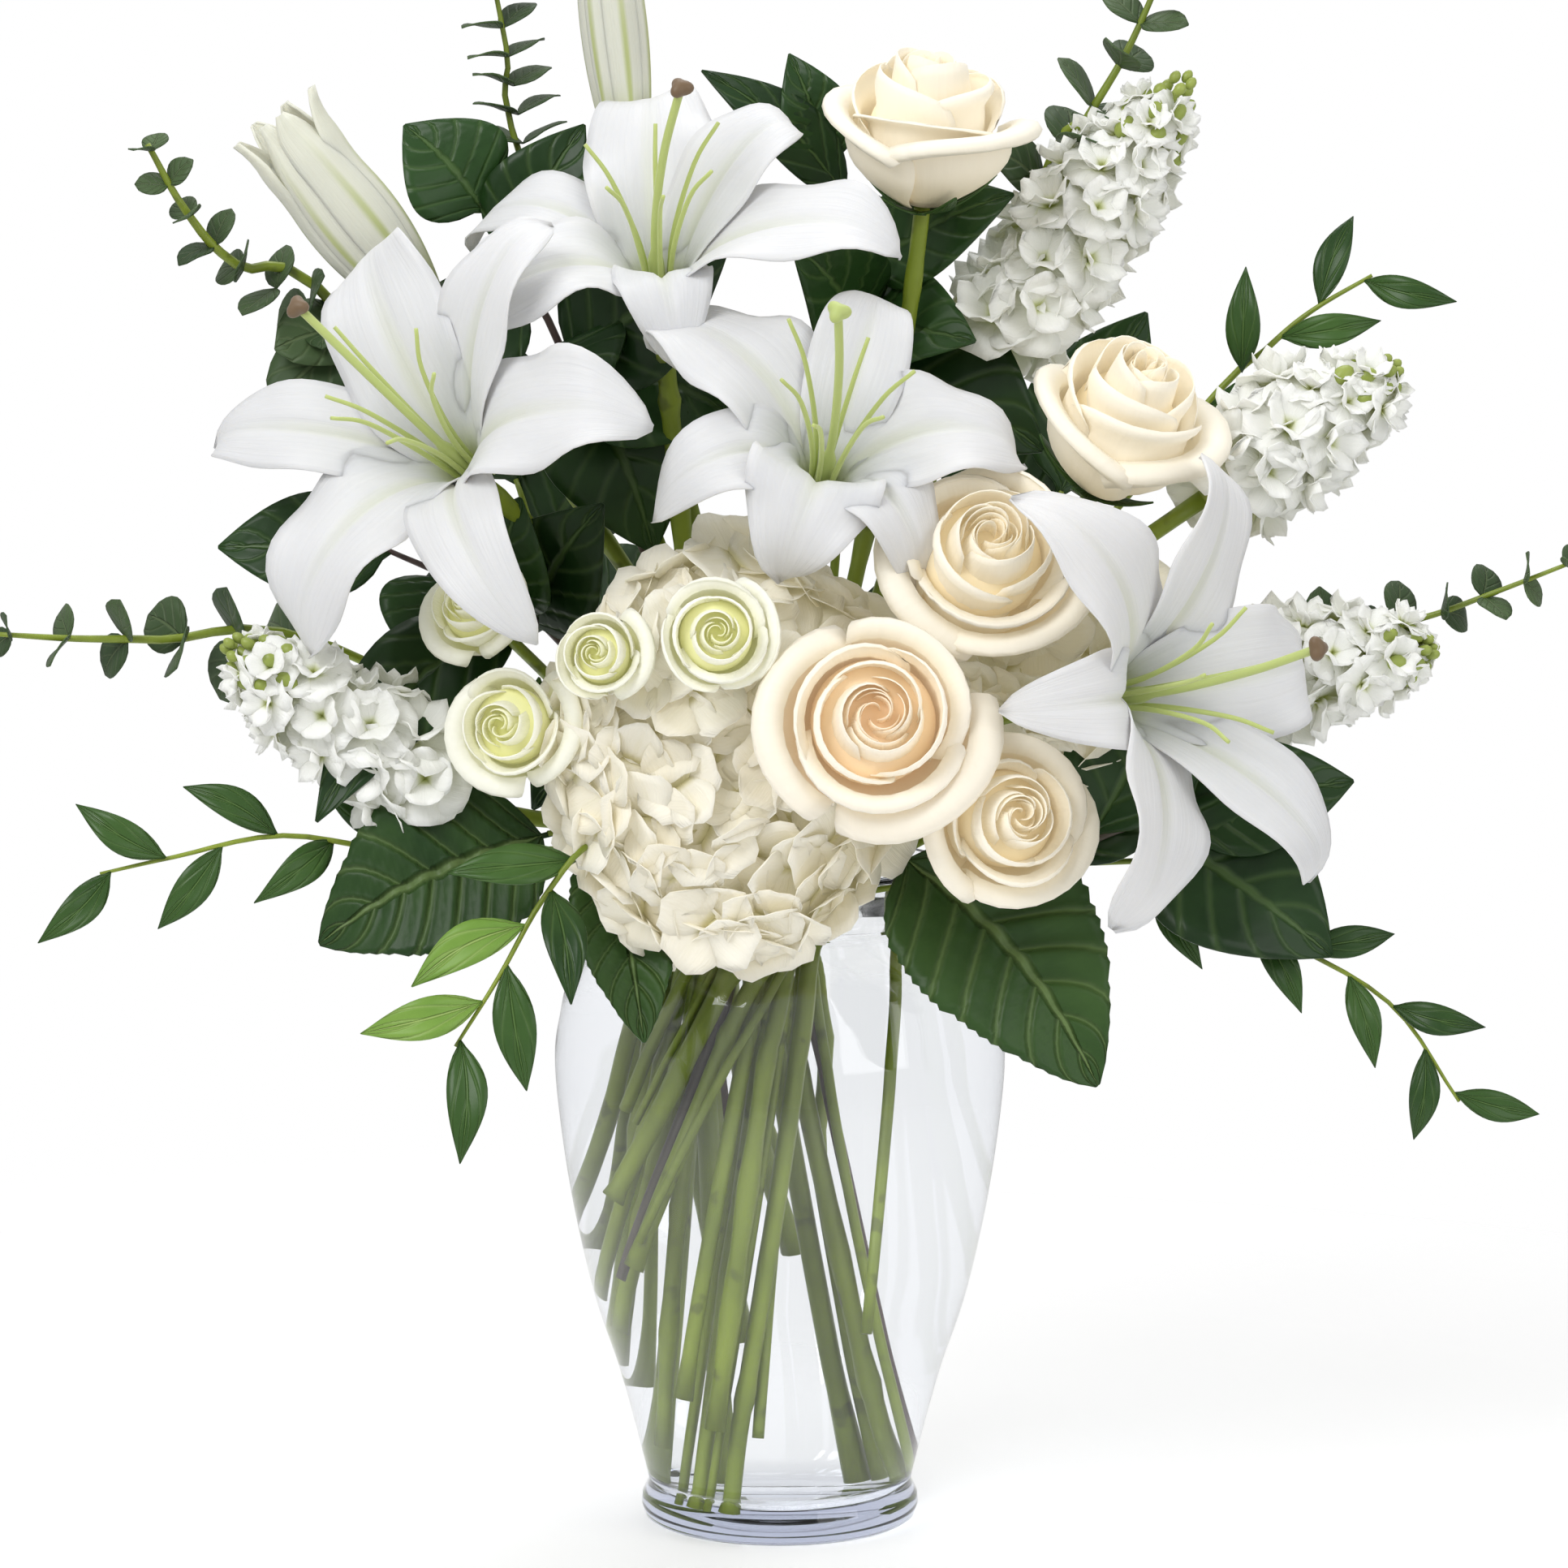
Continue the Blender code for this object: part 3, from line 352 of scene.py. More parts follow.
class Finish(Enum):
    """Every finish that the arrangement uses."""

    GLASS = ClearFinish("clear_glass", (0.975, 0.98, 0.99, 1), 1.46, 0.0004, (0.62, 0.66, 0.78, 1), 20.0)
    WATER = ClearFinish("water", (0.985, 0.99, 0.985, 1), 1.16, mirror=0.05)
    LILY = PetalFinish("lily_petal", (0.75, 0.75, 0.755, 1), (0.62, 0.68, 0.28, 1),
                       (0.50, 0.50, 0.53, 1), 0.22, 0.24, 0.50)
    # The roses, spray roses, stock and hydrangea carry a painted glow in their heart colour.
    ROSE = PetalFinish("rose_petal", (0.97, 0.91, 0.77, 1), (0.96, 0.83, 0.58, 1),
                       (0.94, 0.84, 0.64, 1), 0.60, 0.0, 0.25, 0.60, glow=0.2, painted_glow=0.07)
    PEACH_ROSE = PetalFinish("peach_rose_petal", (0.97, 0.91, 0.77, 1), (0.97, 0.76, 0.52, 1),
                             (0.95, 0.83, 0.60, 1), 0.60, 0.0, 0.25, 0.85, glow=0.2, painted_glow=0.07)
    SPRAY_ROSE = PetalFinish("spray_rose_petal", (0.96, 0.95, 0.84, 1), (0.88, 0.88, 0.46, 1),
                             (0.90, 0.90, 0.66, 1), 0.55, 0.0, 0.25, 0.85, glow=0.2, painted_glow=0.06)
    STOCK = PetalFinish("stock_petal", (0.97, 0.97, 0.95, 1), (0.58, 0.64, 0.14, 1),
                        (0.86, 0.87, 0.80, 1), 0.34, 0.0, 0.30, uneven=0.1, glow=0.2, painted_glow=0.03)
    HYDRANGEA = PetalFinish("hydrangea_petal", (0.97, 0.94, 0.84, 1), (0.74, 0.68, 0.36, 1),
                            (0.86, 0.77, 0.56, 1), 0.20, 0.12, 0.45, uneven=0.35, glow=0.2, painted_glow=0.055)
    BUD = PetalFinish("bud_petal", (0.76, 0.76, 0.64, 1), (0.40, 0.46, 0.14, 1),
                      (0.56, 0.56, 0.40, 1), 0.32, 0.85, 0.5)
    STAMEN = PetalFinish("stamen", (0.64, 0.70, 0.30, 1), (0.46, 0.54, 0.18, 1), (0.5, 0.5, 0.25, 1))
    STIGMA = PetalFinish("dark_stigma", (0.10, 0.045, 0.03, 1), (0.16, 0.10, 0.05, 1), (0.05, 0.02, 0.02, 1),
                         glow=0.0)
    SALAL = LeafFinish("salal_leaf", (0.006, 0.022, 0.005, 1), (0.030, 0.085, 0.018, 1),
                       (0.12, 0.20, 0.06, 1), 0.36, 6.0)
    RUSCUS = LeafFinish("ruscus_leaf", (0.016, 0.048, 0.010, 1), (0.070, 0.155, 0.032, 1),
                        (0.14, 0.24, 0.07, 1), 0.32, 2.0)
    LIME = LeafFinish("lime_leaf", (0.14, 0.28, 0.04, 1), (0.32, 0.48, 0.10, 1),
                      (0.48, 0.60, 0.22, 1), 0.36, 2.0)
    EUCALYPTUS = LeafFinish("eucalyptus_leaf", (0.030, 0.060, 0.022, 1), (0.095, 0.150, 0.060, 1),
                            (0.15, 0.20, 0.09, 1), 0.50, 4.0)
    BROAD = LeafFinish("hydrangea_leaf", (0.012, 0.042, 0.008, 1), (0.060, 0.130, 0.026, 1),
                       (0.24, 0.34, 0.12, 1), 0.42, 8.0, 0.0020)
    STEM = StemFinish("green_stem", (0.36, 0.46, 0.035, 1), (0.14, 0.20, 0.015, 1), (0.06, 0.075, 0.008, 1))
    PALE_STEM = StemFinish("pale_stem", (0.46, 0.54, 0.12, 1), (0.24, 0.31, 0.05, 1), (0.13, 0.17, 0.03, 1))
    PURPLE_STEM = StemFinish("purple_stem", (0.13, 0.085, 0.065, 1), (0.055, 0.030, 0.030, 1),
                             (0.03, 0.015, 0.018, 1))
    WOODY = StemFinish("woody_stem", (0.15, 0.13, 0.09, 1), (0.055, 0.045, 0.035, 1), (0.03, 0.02, 0.02, 1))


@cache
def material_of(finish: Finish) -> bpy.types.Material:
    """The finish's material, made once."""
    return finish.value.material()


# ---------------------------------------------------------------- shapes


def new_sheet_mesh() -> Sheets:
    """A bmesh with the layers that blades use."""
    bm = bmesh.new()
    bm.verts.layers.float.new("tone")
    bm.loops.layers.uv.new("blade")
    return bm


def add_sheet(bm: Sheets, columns: int, rows: int, place: Place, tone: float) -> None:
    """Adds a grid and lays it out.

    Args:
        bm: The mesh to add to.
        columns: Faces across it.
        rows: Faces along it.
        place: The place of a point from its across (-1 to 1) and its along (0 to 1).
        tone: The sheet's own number for its finish.
    """
    verts = bmesh.ops.create_grid(bm, x_segments=columns, y_segments=rows, size=1.0)["verts"]
    uv = bm.loops.layers.uv["blade"]
    tones = bm.verts.layers.float["tone"]
    spots = {v: (v.co.x, (v.co.y + 1) / 2) for v in verts}
    for v in verts:
        for loop in v.link_loops:
            loop[uv].uv = (spots[v][0] * 0.5 + 0.5, spots[v][1])
    for v in verts:
        v.co = place(*spots[v])
        v[tones] = tone


def around(radius: float, angle: float, z: float) -> Vector:
    """The point at a radius, an angle about Z and a height."""
    return Vector((radius * math.cos(angle), radius * math.sin(angle), z))


def seat_at(point: Vector, axis: Vector) -> Matrix:
    """The place at a point whose +Z is the axis and whose +X is level."""
    axis = axis.normalized()
    side = Vector((0, 0, 1)).cross(axis)
    if side.length < UPRIGHT:
        side = Vector((1, 0, 0))
    side.normalize()
    return Matrix.Translation(point) @ Matrix((side, axis.cross(side), axis)).transposed().to_4x4()


def smooth_curve(points: Sequence[Vector], count: int) -> list[Vector]:
    """Catmull-Rom points through the given ones.

    Args:
        points: The points to pass.
        count: New points for each stretch.

    Returns:
        The finer line.
    """
    padded = [2 * points[0] - points[1], *points, 2 * points[-1] - points[-2]]
    made = []
    for a, b, c, d in zip(padded, padded[1:], padded[2:], padded[3:]):
        for i in range(count):
            t = i / count
            made.append(0.5 * ((2 * b) + (c - a) * t + (2 * a - 5 * b + 4 * c - d) * t**2
                               + (3 * b - a - 3 * c + d) * t**3))
    return made + [points[-1].copy()]


def point_at(points: Sequence[Vector], share: float) -> tuple[Vector, Vector]:
    """The point and the direction at a share of a line's length."""
    lengths = [(b - a).length for a, b in zip(points, points[1:])]
    wanted = max(0.0, min(1.0, share)) * sum(lengths)
    for a, b, length in zip(points, points[1:], lengths):
        if wanted <= length:
            return a.lerp(b, wanted / length), (b - a).normalized()
        wanted -= length
    return points[-1].copy(), (points[-1] - points[-2]).normalized()


def tube_mesh(points: Sequence[Vector], radii: Sequence[float], sides: int = 3) -> bpy.types.Mesh:
    """A round tube along points, with its own radius at each.

    Args:
        points: The middle line.
        radii: The radius at each point.
        sides: The bevel's resolution.

    Returns:
        The mesh.
    """
    curve = bpy.data.curves.new("tube", "CURVE")
    curve.dimensions = "3D"
    curve.bevel_depth = 1.0
    curve.bevel_resolution = sides
    curve.use_fill_caps = True
    spline = curve.splines.new("POLY")
    spline.points.add(len(points) - 1)
    for target, p, r in zip(spline.points, points, radii):
        target.co = (*p, 1)
        target.radius = r
    holder = bpy.data.objects.new("tube", curve)
    bpy.context.scene.collection.objects.link(holder)
    bpy.context.view_layer.update()
    graph = bpy.context.evaluated_depsgraph_get()
    mesh = bpy.data.meshes.new_from_object(holder.evaluated_get(graph), depsgraph=graph)
    bpy.data.objects.remove(holder)
    bpy.data.curves.remove(curve)
    bm = bmesh.new()
    bm.from_mesh(mesh)
    bmesh.ops.remove_doubles(bm, verts=bm.verts, dist=MERGE)
    bm.to_mesh(mesh)
    bm.free()
    return mesh


def add_tube(bm: Sheets, points: Sequence[Vector], radii: Sequence[float], sides: int = 2) -> None:
    """Adds a tube to a mesh that is being built."""
    mesh = tube_mesh(points, radii, sides)
    bm.from_mesh(mesh)
    bpy.data.meshes.remove(mesh)


def turned(profile: Sequence[tuple[float, float]], steps: int) -> Sheets:
    """A solid of revolution about Z.

    Args:
        profile: Radius and height, running down the outer side.
        steps: The steps of the full turn.

    Returns:
        The mesh, with its faces pointing out.
    """
    bm = bmesh.new()
    verts = [bm.verts.new((r, 0, z)) for r, z in profile]
    edges = [bm.edges.new(pair) for pair in zip(verts, verts[1:])]
    bmesh.ops.spin(bm, geom=verts + edges, axis=(0, 0, 1), cent=(0, 0, 0), angle=math.tau,
                   steps=steps, use_merge=True)
    bmesh.ops.remove_doubles(bm, verts=bm.verts, dist=MERGE)
    bmesh.ops.recalc_face_normals(bm, faces=bm.faces)
    return bm


def add_piece(name: str, shape: Union[Sheets, bpy.types.Mesh], finish: Finish, slot: str,
              nodes: Sequence[str] = (), thickness: float = 0.0,
              seat: Optional[Matrix] = None) -> bpy.types.Object:
    """Makes a piece of the visual model.

    Args:
        name: The piece's name.
        shape: Its mesh.
        finish: What it is made of.
        slot: The name of a material slot; not used.
        nodes: The CAD nodes that it stands for.
        thickness: The wall that a thin sheet gets.
        seat: The place of a bmesh that isn't laid out in place.

    Returns:
        The piece.
    """
    if isinstance(shape, Sheets):
        if seat is not None:
            bmesh.ops.transform(shape, matrix=seat, verts=shape.verts)
        mesh = bpy.data.meshes.new(name)
        shape.to_mesh(mesh)
        shape.free()
    else:
        mesh = shape
        mesh.name = name
    mesh.materials.clear()
    mesh.materials.append(material_of(finish))
    mesh.shade_smooth()
    piece = bpy.data.objects.new(name, mesh)
    bpy.context.scene.collection.objects.link(piece)
    if thickness:
        wall = piece.modifiers.new("Wall", "SOLIDIFY")
        wall.thickness = thickness
        wall.offset = 0.0
    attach(piece, BODY)
    if nodes:
        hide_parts(*nodes)
    log.info("%s: %d faces", name, len(mesh.polygons))
    return piece


# ---------------------------------------------------------------- reading the frame


def tube_rings(node: str, radius: float) -> list[Vector]:
    """The middles of the rings of a CAD tube.

    Args:
        node: The CAD node.
        radius: The tube's radius.

    Returns:
        The middles, in no order.
    """
    seen = {tuple(round(c, 5) for c in v.co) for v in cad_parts[node].data.vertices}
    points = [Vector(p) for p in sorted(seen)]
    tree = KDTree(len(points))
    for i, p in enumerate(points):
        tree.insert(p, i)
    tree.balance()
    left = set(range(len(points)))
    middles = []
    for first in range(len(points)):
        if first not in left:
            continue
        left.remove(first)
        todo, ring = [first], []
        while todo:
            at = todo.pop()
            ring.append(points[at])
            for _, other, _ in tree.find_range(points[at], radius * RING_REACH):
                if other in left:
                    left.remove(other)
                    todo.append(other)
        if len(ring) == TUBE_SIDES:
            middles.append(sum(ring, Vector()) / len(ring))
    return middles


def stem_line(node: str, radius: float, inside_only: bool = False) -> list[Vector]:
    """A stem's middle line from its cut end upwards.

    Args:
        node: The CAD node.
        radius: Its radius.
        inside_only: Whether to stop at the vase's lip.

    Returns:
        The line's points.
    """
    left = tube_rings(node, radius)
    if inside_only:
        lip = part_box("vase")[1][2]
        left = [p for p in left if p.z < lip + LIP_SLACK and math.hypot(p.x, p.y) < NECK_REACH]
    line = [min(left, key=lambda p: p.z)]
    left.remove(line[0])
    while left:
        nearest = min(left, key=lambda p: (p - line[-1]).length)
        line.append(nearest)
        left.remove(nearest)
    return line


# ---------------------------------------------------------------- the vase


@dataclass
class Vase:
    """The glass vase and its water, turned from one outline."""

    wall: float = 0.003
    floor: float = 0.009
    water_level: float = 0.208
    water_overlap: float = 0.00005
    steps: int = 96
    shape: tuple = (
        (0.0447, 0.014), (0.0500, 0.035), (0.0556, 0.055), (0.0630, 0.077), (0.0690, 0.103),
        (0.0734, 0.129), (0.0763, 0.157), (0.0748, 0.173), (0.0690, 0.194), (0.0520, 0.213),
        (0.0570, 0.226),
    )

    def outline(self) -> list[tuple[float, float]]:
        """The outside from the waist above the foot to the lip."""
        return [(p.x, p.z) for p in smooth_curve([Vector((r, 0, z)) for r, z in self.shape], 6)]

    def build(self) -> None:
        """Makes the glass and the water."""
        outside = self.outline()
        inside = [(r - self.wall, z) for r, z in outside if z > self.floor + 0.008]
        foot = [(0.0469, 0.0095), (0.0473, 0.006), (0.0462, 0.0022), (0.0435, 0.0004), (0.0405, 0.0),
                (0.030, 0.0012), (0.0, 0.0016)]
        bowl = [(0.0, self.floor), (0.020, self.floor), (0.034, self.floor + 0.001),
                (0.0395, self.floor + 0.0035)]
        lip_r, lip_z = outside[-1]
        lip = [(lip_r - self.wall * 0.5, lip_z + 0.0008)]
        profile = [*bowl, *inside, *lip, *reversed(outside), *foot]
        add_piece("vase_glass", turned(profile, self.steps), Finish.GLASS, "glass", ["vase"])
        level = [(r + self.water_overlap, z) for r, z in inside if z < self.water_level]
        side = [*bowl[1:], *level, (level[-1][0] + 0.0004, self.water_level)]
        sunk = [(r, z - self.water_overlap) for r, z in [(0.0, self.floor), *side[:3]]]
        body = [*sunk, *side[3:]]
        edge = side[-1][0]
        surface = [(edge - 0.002, self.water_level - 0.0016), (edge - 0.006, self.water_level - 0.0022),
                   (0.0, self.water_level - 0.0022)]
        add_piece("vase_water", turned([*body, *surface], self.steps), Finish.WATER, "glass")


# ---------------------------------------------------------------- stems


@dataclass
class CutStem:
    """A flower's stem: the CAD tube's line as a round stem with swollen nodes."""

    flower: str
    radius: float
    node_spacing: float = 0.042
    swelling: float = 0.28
    finish: Finish = Finish.STEM

    def line(self) -> list[Vector]:
        """The stem's smooth middle line."""
        return smooth_curve(stem_line(self.flower + "_stem", self.radius), 6)

    def seat(self) -> Matrix:
        """The flower's seat on the stem's top, looking along it."""
        line = stem_line(self.flower + "_stem", self.radius)
        return seat_at(line[-1], (line[-1] - line[-2]).normalized())

    def build(self) -> None:
        """Makes the stem."""
        line = self.line()
        travelled, radii = 0.0, []
        for i, p in enumerate(line):
            travelled += (p - line[i - 1]).length if i else 0.0
            near = abs((travelled / self.node_spacing) % 1.0 - 0.5) * 2
            radii.append(self.radius * (0.9 + self.swelling * max(0.0, near - 0.8) / 0.2))
        mesh = tube_mesh(line, radii)
        add_piece(self.flower + "_stalk", mesh, self.finish, "stem", [self.flower + "_stem"])


# ---------------------------------------------------------------- lilies


def petal_line(reach: float, rise: float, share: float) -> Vector:
    """A lily petal's middle line, as a point with x out from the axis and z along it."""
    crest = max(rise, 0.034) + 0.016
    out = (0.0045, 0.010, reach * 0.62, reach)
    up = (0.0, 0.034, crest, rise)
    weights = ((1 - share) ** 3, 3 * share * (1 - share) ** 2, 3 * share**2 * (1 - share), share**3)
    return Vector((sum(w * o for w, o in zip(weights, out)), 0, sum(w * u for w, u in zip(weights, up))))


@dataclass
class Lily:
    """An open lily: six ruffled petals, six stamens without their anthers, and a pistil."""

    name: str
    roll: float
    petals: tuple
    seed: int
    stem_radius: float = 0.0036
    inner_half: float = 0.0225
    outer_half: float = 0.0165
    stigma: Finish = Finish.STAMEN
    curl: float = 0.012
    lean: tuple = (0.0, 0.008)

    def petal(self, k: int, rng: random.Random) -> Place:
        """The layout of one petal.

        Args:
            k: Which of the six.
            rng: The flower's own random numbers.

        Returns:
            The place of each of its points.
        """
        reach, rise = (v * MM for v in self.petals[k])
        half = self.inner_half if k % 2 == 0 else self.outer_half
        turn = Matrix.Rotation(math.radians(self.roll + 60 * k), 3, "Z")
        phase, twist = rng.uniform(0, math.tau), rng.uniform(-0.14, 0.14)
        ruffle = (0.0034 if k % 2 == 0 else 0.0018) * rng.uniform(0.7, 1.2)
        sway = rng.uniform(-0.007, 0.007)
        lower = 0.0006 if k % 2 == 0 else -0.0008

        def place(x: float, y: float) -> Vector:
            at = petal_line(reach, rise, y)
            ahead = (petal_line(reach, rise, y + 0.01) - petal_line(reach, rise, y - 0.01)).normalized()
            up = Vector((-ahead.z, 0, ahead.x))
            wide = half * math.sin(math.pi * min(1.0, 0.05 + 0.95 * y) ** 1.15) ** 0.62
            wide = max(wide, 0.0024 if y < 0.5 else 0.0005)
            bend = max(at.x, 0.008) * (1.0 + (2.6 * y) ** 2)
            angle = x * wide / bend
            side = bend * math.sin(angle)
            fall = bend * (1 - math.cos(angle))
            groove = -0.0024 * math.exp(-((x / 0.13) ** 2)) * math.sin(math.pi * min(1.0, y * 1.1))
            wave = ruffle * abs(x) ** 2 * math.sin(math.tau * 2.6 * y + phase + (1.7 if x > 0 else 0.0))
            tip = self.curl * max(0.0, y - 0.78) ** 2 / 0.0484
            p = at + Vector((0, side + sway * y * y, 0)) + up * (groove + wave * min(1.0, y * 2) + lower)
            p += Vector((-fall * (1 - 0.4 * y), 0, fall * 0.35 * y)) - up * tip * 0.6
            p += up * twist * x * wide * y
            return turn @ p

        return place

    def build(self) -> None:
        """Makes the bloom on its stem."""
        rng = random.Random(self.seed)
        seat = CutStem(self.name, self.stem_radius).seat()
        bm = new_sheet_mesh()
        for k in (1, 3, 5, 0, 2, 4):
            add_sheet(bm, 12, 26, self.petal(k, rng), rng.random())
        add_piece(self.name + "_petals", bm, Finish.LILY, "lily_petal", [self.name], THICK_PETAL, seat)
        self.build_centre(seat, rng)

    def build_centre(self, seat: Matrix, rng: random.Random) -> None:
        """Makes the stamens and the pistil.

        Args:
            seat: Where the flower sits.
            rng: The flower's own random numbers.
        """
        bm = bmesh.new()
        for k in range(6):
            angle = math.radians(self.roll + 60 * k + rng.uniform(-14, 14))
            out, tall = rng.uniform(0.017, 0.028), rng.uniform(0.058, 0.068)
            way = around(1, angle, 0)
            points = [way * 0.003, way * 0.006 + Vector((0, 0, tall * 0.4)),
                      way * out * 0.62 + Vector((0, 0, tall * 0.8)), way * out + Vector((0, 0, tall))]
            line = smooth_curve(points, 5)
            add_tube(bm, line, [0.00105 - 0.0004 * i / len(line) for i in range(len(line))])
        tip = Vector((rng.uniform(-0.012, 0.012) + self.lean[0], self.lean[1], 0.084))
        points = [Vector((0, 0, 0)), Vector((0, 0, 0.03)), Vector((tip.x * 0.4, tip.y * 0.4, 0.060)), tip]
        line = smooth_curve(points, 6)
        add_tube(bm, line, [0.0028 if i < 5 else 0.0014 for i in range(len(line))])
        add_piece(self.name + "_stamens", bm, Finish.STAMEN, "lily_petal", seat=seat)
        knob = bmesh.new()
        bmesh.ops.create_icosphere(knob, subdivisions=3, radius=0.0036)
        for v in knob.verts:
            lobes = 1 + 0.22 * math.cos(3 * math.atan2(v.co.y, v.co.x))
            v.co = Vector((v.co.x * lobes, v.co.y * lobes, v.co.z * 0.75)) + line[-1]
        add_piece(self.name + "_stigma", knob, self.stigma, "lily_petal", seat=seat)


@dataclass
class LilyBud:
    """A lily bud: six petals folded along each other, with ribs, open at the tip by its spread."""

    name: str
    length: float
    radius: float
    spread: float
    seed: int
    stem_radius: float = 0.0032

    def build(self) -> None:
        """Makes the bud on its stem."""
        rng = random.Random(self.seed)
        seat = CutStem(self.name, self.stem_radius).seat()
        bm = new_sheet_mesh()
        for k in range(6):
            turn = Matrix.Rotation(math.radians(60 * k + 12), 3, "Z")
            outer = k % 2 == 0
            size = 1.0 if outer else 0.93
            flare = self.spread * rng.uniform(0.25, 1.25)

            def place(x: float, y: float) -> Vector:
                r = self.radius * size * (0.14 + 0.86 * math.sin(math.pi * (0.09 + 0.86 * y)) ** 0.75)
                r *= 1 - 0.45 * max(0.0, y - 0.8) / 0.2
                r += flare * max(0.0, (y - 0.60) / 0.40) ** 2
                half = self.radius * (1.20 if outer else 1.0) * math.sin(math.pi * (0.16 + 0.83 * y)) ** 0.7
                angle = x * min(half / r, 0.72)
                rib = 0.0012 * math.exp(-((x / 0.2) ** 2)) - 0.0014 * abs(x) ** 4
                return turn @ around(r + rib, angle, self.length * y)

            add_sheet(bm, 10, 22, place, rng.random())
        add_piece(self.name + "_petals", bm, Finish.BUD, "bud", [self.name], BUD_PETAL, seat)


# ---------------------------------------------------------------- roses


@dataclass
class Rose:
    """A rose: a heart of tight petals in a spiral, wide petals that roll back at the rim, and sepals."""

    name: str
    radius: float
    height: float
    seed: int
    heart: int = 11
    outer: int = 8
    stem_radius: float = 0.0030
    finish: Finish = Finish.ROSE
    slot: str = "rose_petal"

    def shares(self) -> list[float]:
        """How far out each petal stands, from 0 at the middle to 1."""
        tight = [0.03 + 0.45 * i / self.heart for i in range(self.heart)]
        return tight + [0.52 + 0.48 * i / (self.outer - 1) for i in range(self.outer)]

    def petal(self, share: float, angle: float, rng: random.Random) -> Place:
        """The layout of one petal.

        Args:
            share: 0 for the innermost petal and 1 for the outermost.
            angle: Where it stands around the axis.
            rng: The flower's own random numbers.

        Returns:
            The place of each of its points.
        """
        core = self.radius * 0.09
        belly = self.radius * (0.10 + 0.84 * share * rng.uniform(0.96, 1.02))
        closing = 0.46 * (1 - share) ** 1.1
        loose = max(0.0, share - 0.42) / 0.58
        roll = self.radius * 0.30 * loose * rng.uniform(0.55, 1.3)
        tall = self.height * (0.97 + 0.03 * math.sin(math.pi * share) - 0.12 * loose**2)
        tall *= rng.uniform(0.97, 1.03)
        span = (1.75 - 0.45 * share) * rng.uniform(0.88, 1.12)
        drop = 0.10 + 0.16 * loose
        phase = rng.uniform(0, math.tau)
        lean = rng.uniform(-0.04, 0.04) * tall

        def place(x: float, y: float) -> Vector:
            cup = math.sin(math.pi / 2 * min(1.0, 0.12 + y / 0.56))
            cup -= closing * max(0.0, (y - 0.5) / 0.5) ** 1.6
            r = core + (belly - core) * cup * (1 - 0.09 * x * x) + x * self.radius * 0.07
            curl = 2.3 * max(0.0, (y - 0.70) / 0.30) * (1 - 0.25 * x * x)
            r += roll * math.sin(curl)
            edge = y * (1 - drop * abs(x) ** 2.6) + 0.03 * loose * (1 - abs(x)) ** 2 * y**4
            z = tall * edge - roll * (1 - math.cos(curl)) + lean * x * y
            z += self.height * 0.014 * math.sin(3.1 * x + phase) * y * y
            r += self.radius * 0.018 * loose * math.sin(4.3 * x - phase) * y * y
            a = angle + x * span * (0.72 + 0.28 * math.sin(math.pi * (0.1 + 0.75 * y)))
            return around(r, a, z)

        return place

    def build(self) -> None:
        """Makes the head on its stem."""
        rng = random.Random(self.seed)
        seat = CutStem(self.name, self.stem_radius).seat()
        bm = new_sheet_mesh()
        for i, share in enumerate(self.shares()):
            add_sheet(bm, 12, 13, self.petal(share, i * GOLDEN + rng.uniform(-0.2, 0.2), rng), share)
        add_piece(self.name + "_petals", bm, self.finish, self.slot, [self.name], ROSE_PETAL, seat)
        self.build_core(seat)
        self.build_sepals(seat)

    def build_core(self, seat: Matrix) -> None:
        """Makes the closed heart that the petals wrap round, which shows deep between them."""
        bm = bmesh.new()
        bmesh.ops.create_icosphere(bm, subdivisions=4, radius=1.0)
        for v in bm.verts:
            v.co = Vector((v.co.x * self.radius * 0.62, v.co.y * self.radius * 0.62,
                           self.height * (0.50 + 0.30 * v.co.z)))
        add_piece(self.name + "_core", bm, self.finish, self.slot, seat=seat)

    def build_sepals(self, seat: Matrix) -> None:
        """Makes the five sepals under the head."""
        bm = new_sheet_mesh()
        for k in range(5):
            turn = Matrix.Rotation(math.tau * k / 5, 3, "Z")

            def place(x: float, y: float) -> Vector:
                wide = self.radius * 0.17 * (1 - y) ** 0.6 + 0.0004
                out = self.stem_radius + self.radius * 0.72 * y
                return turn @ Vector((out, x * wide, self.height * (0.02 + 0.16 * y * y) - 0.004 * (1 - y)))

            add_sheet(bm, 2, 7, place, 0.5)
        add_piece(self.name + "_sepals", bm, Finish.RUSCUS, "leaf", (), THICK_PETAL, seat)


# ---------------------------------------------------------------- stock and hydrangea


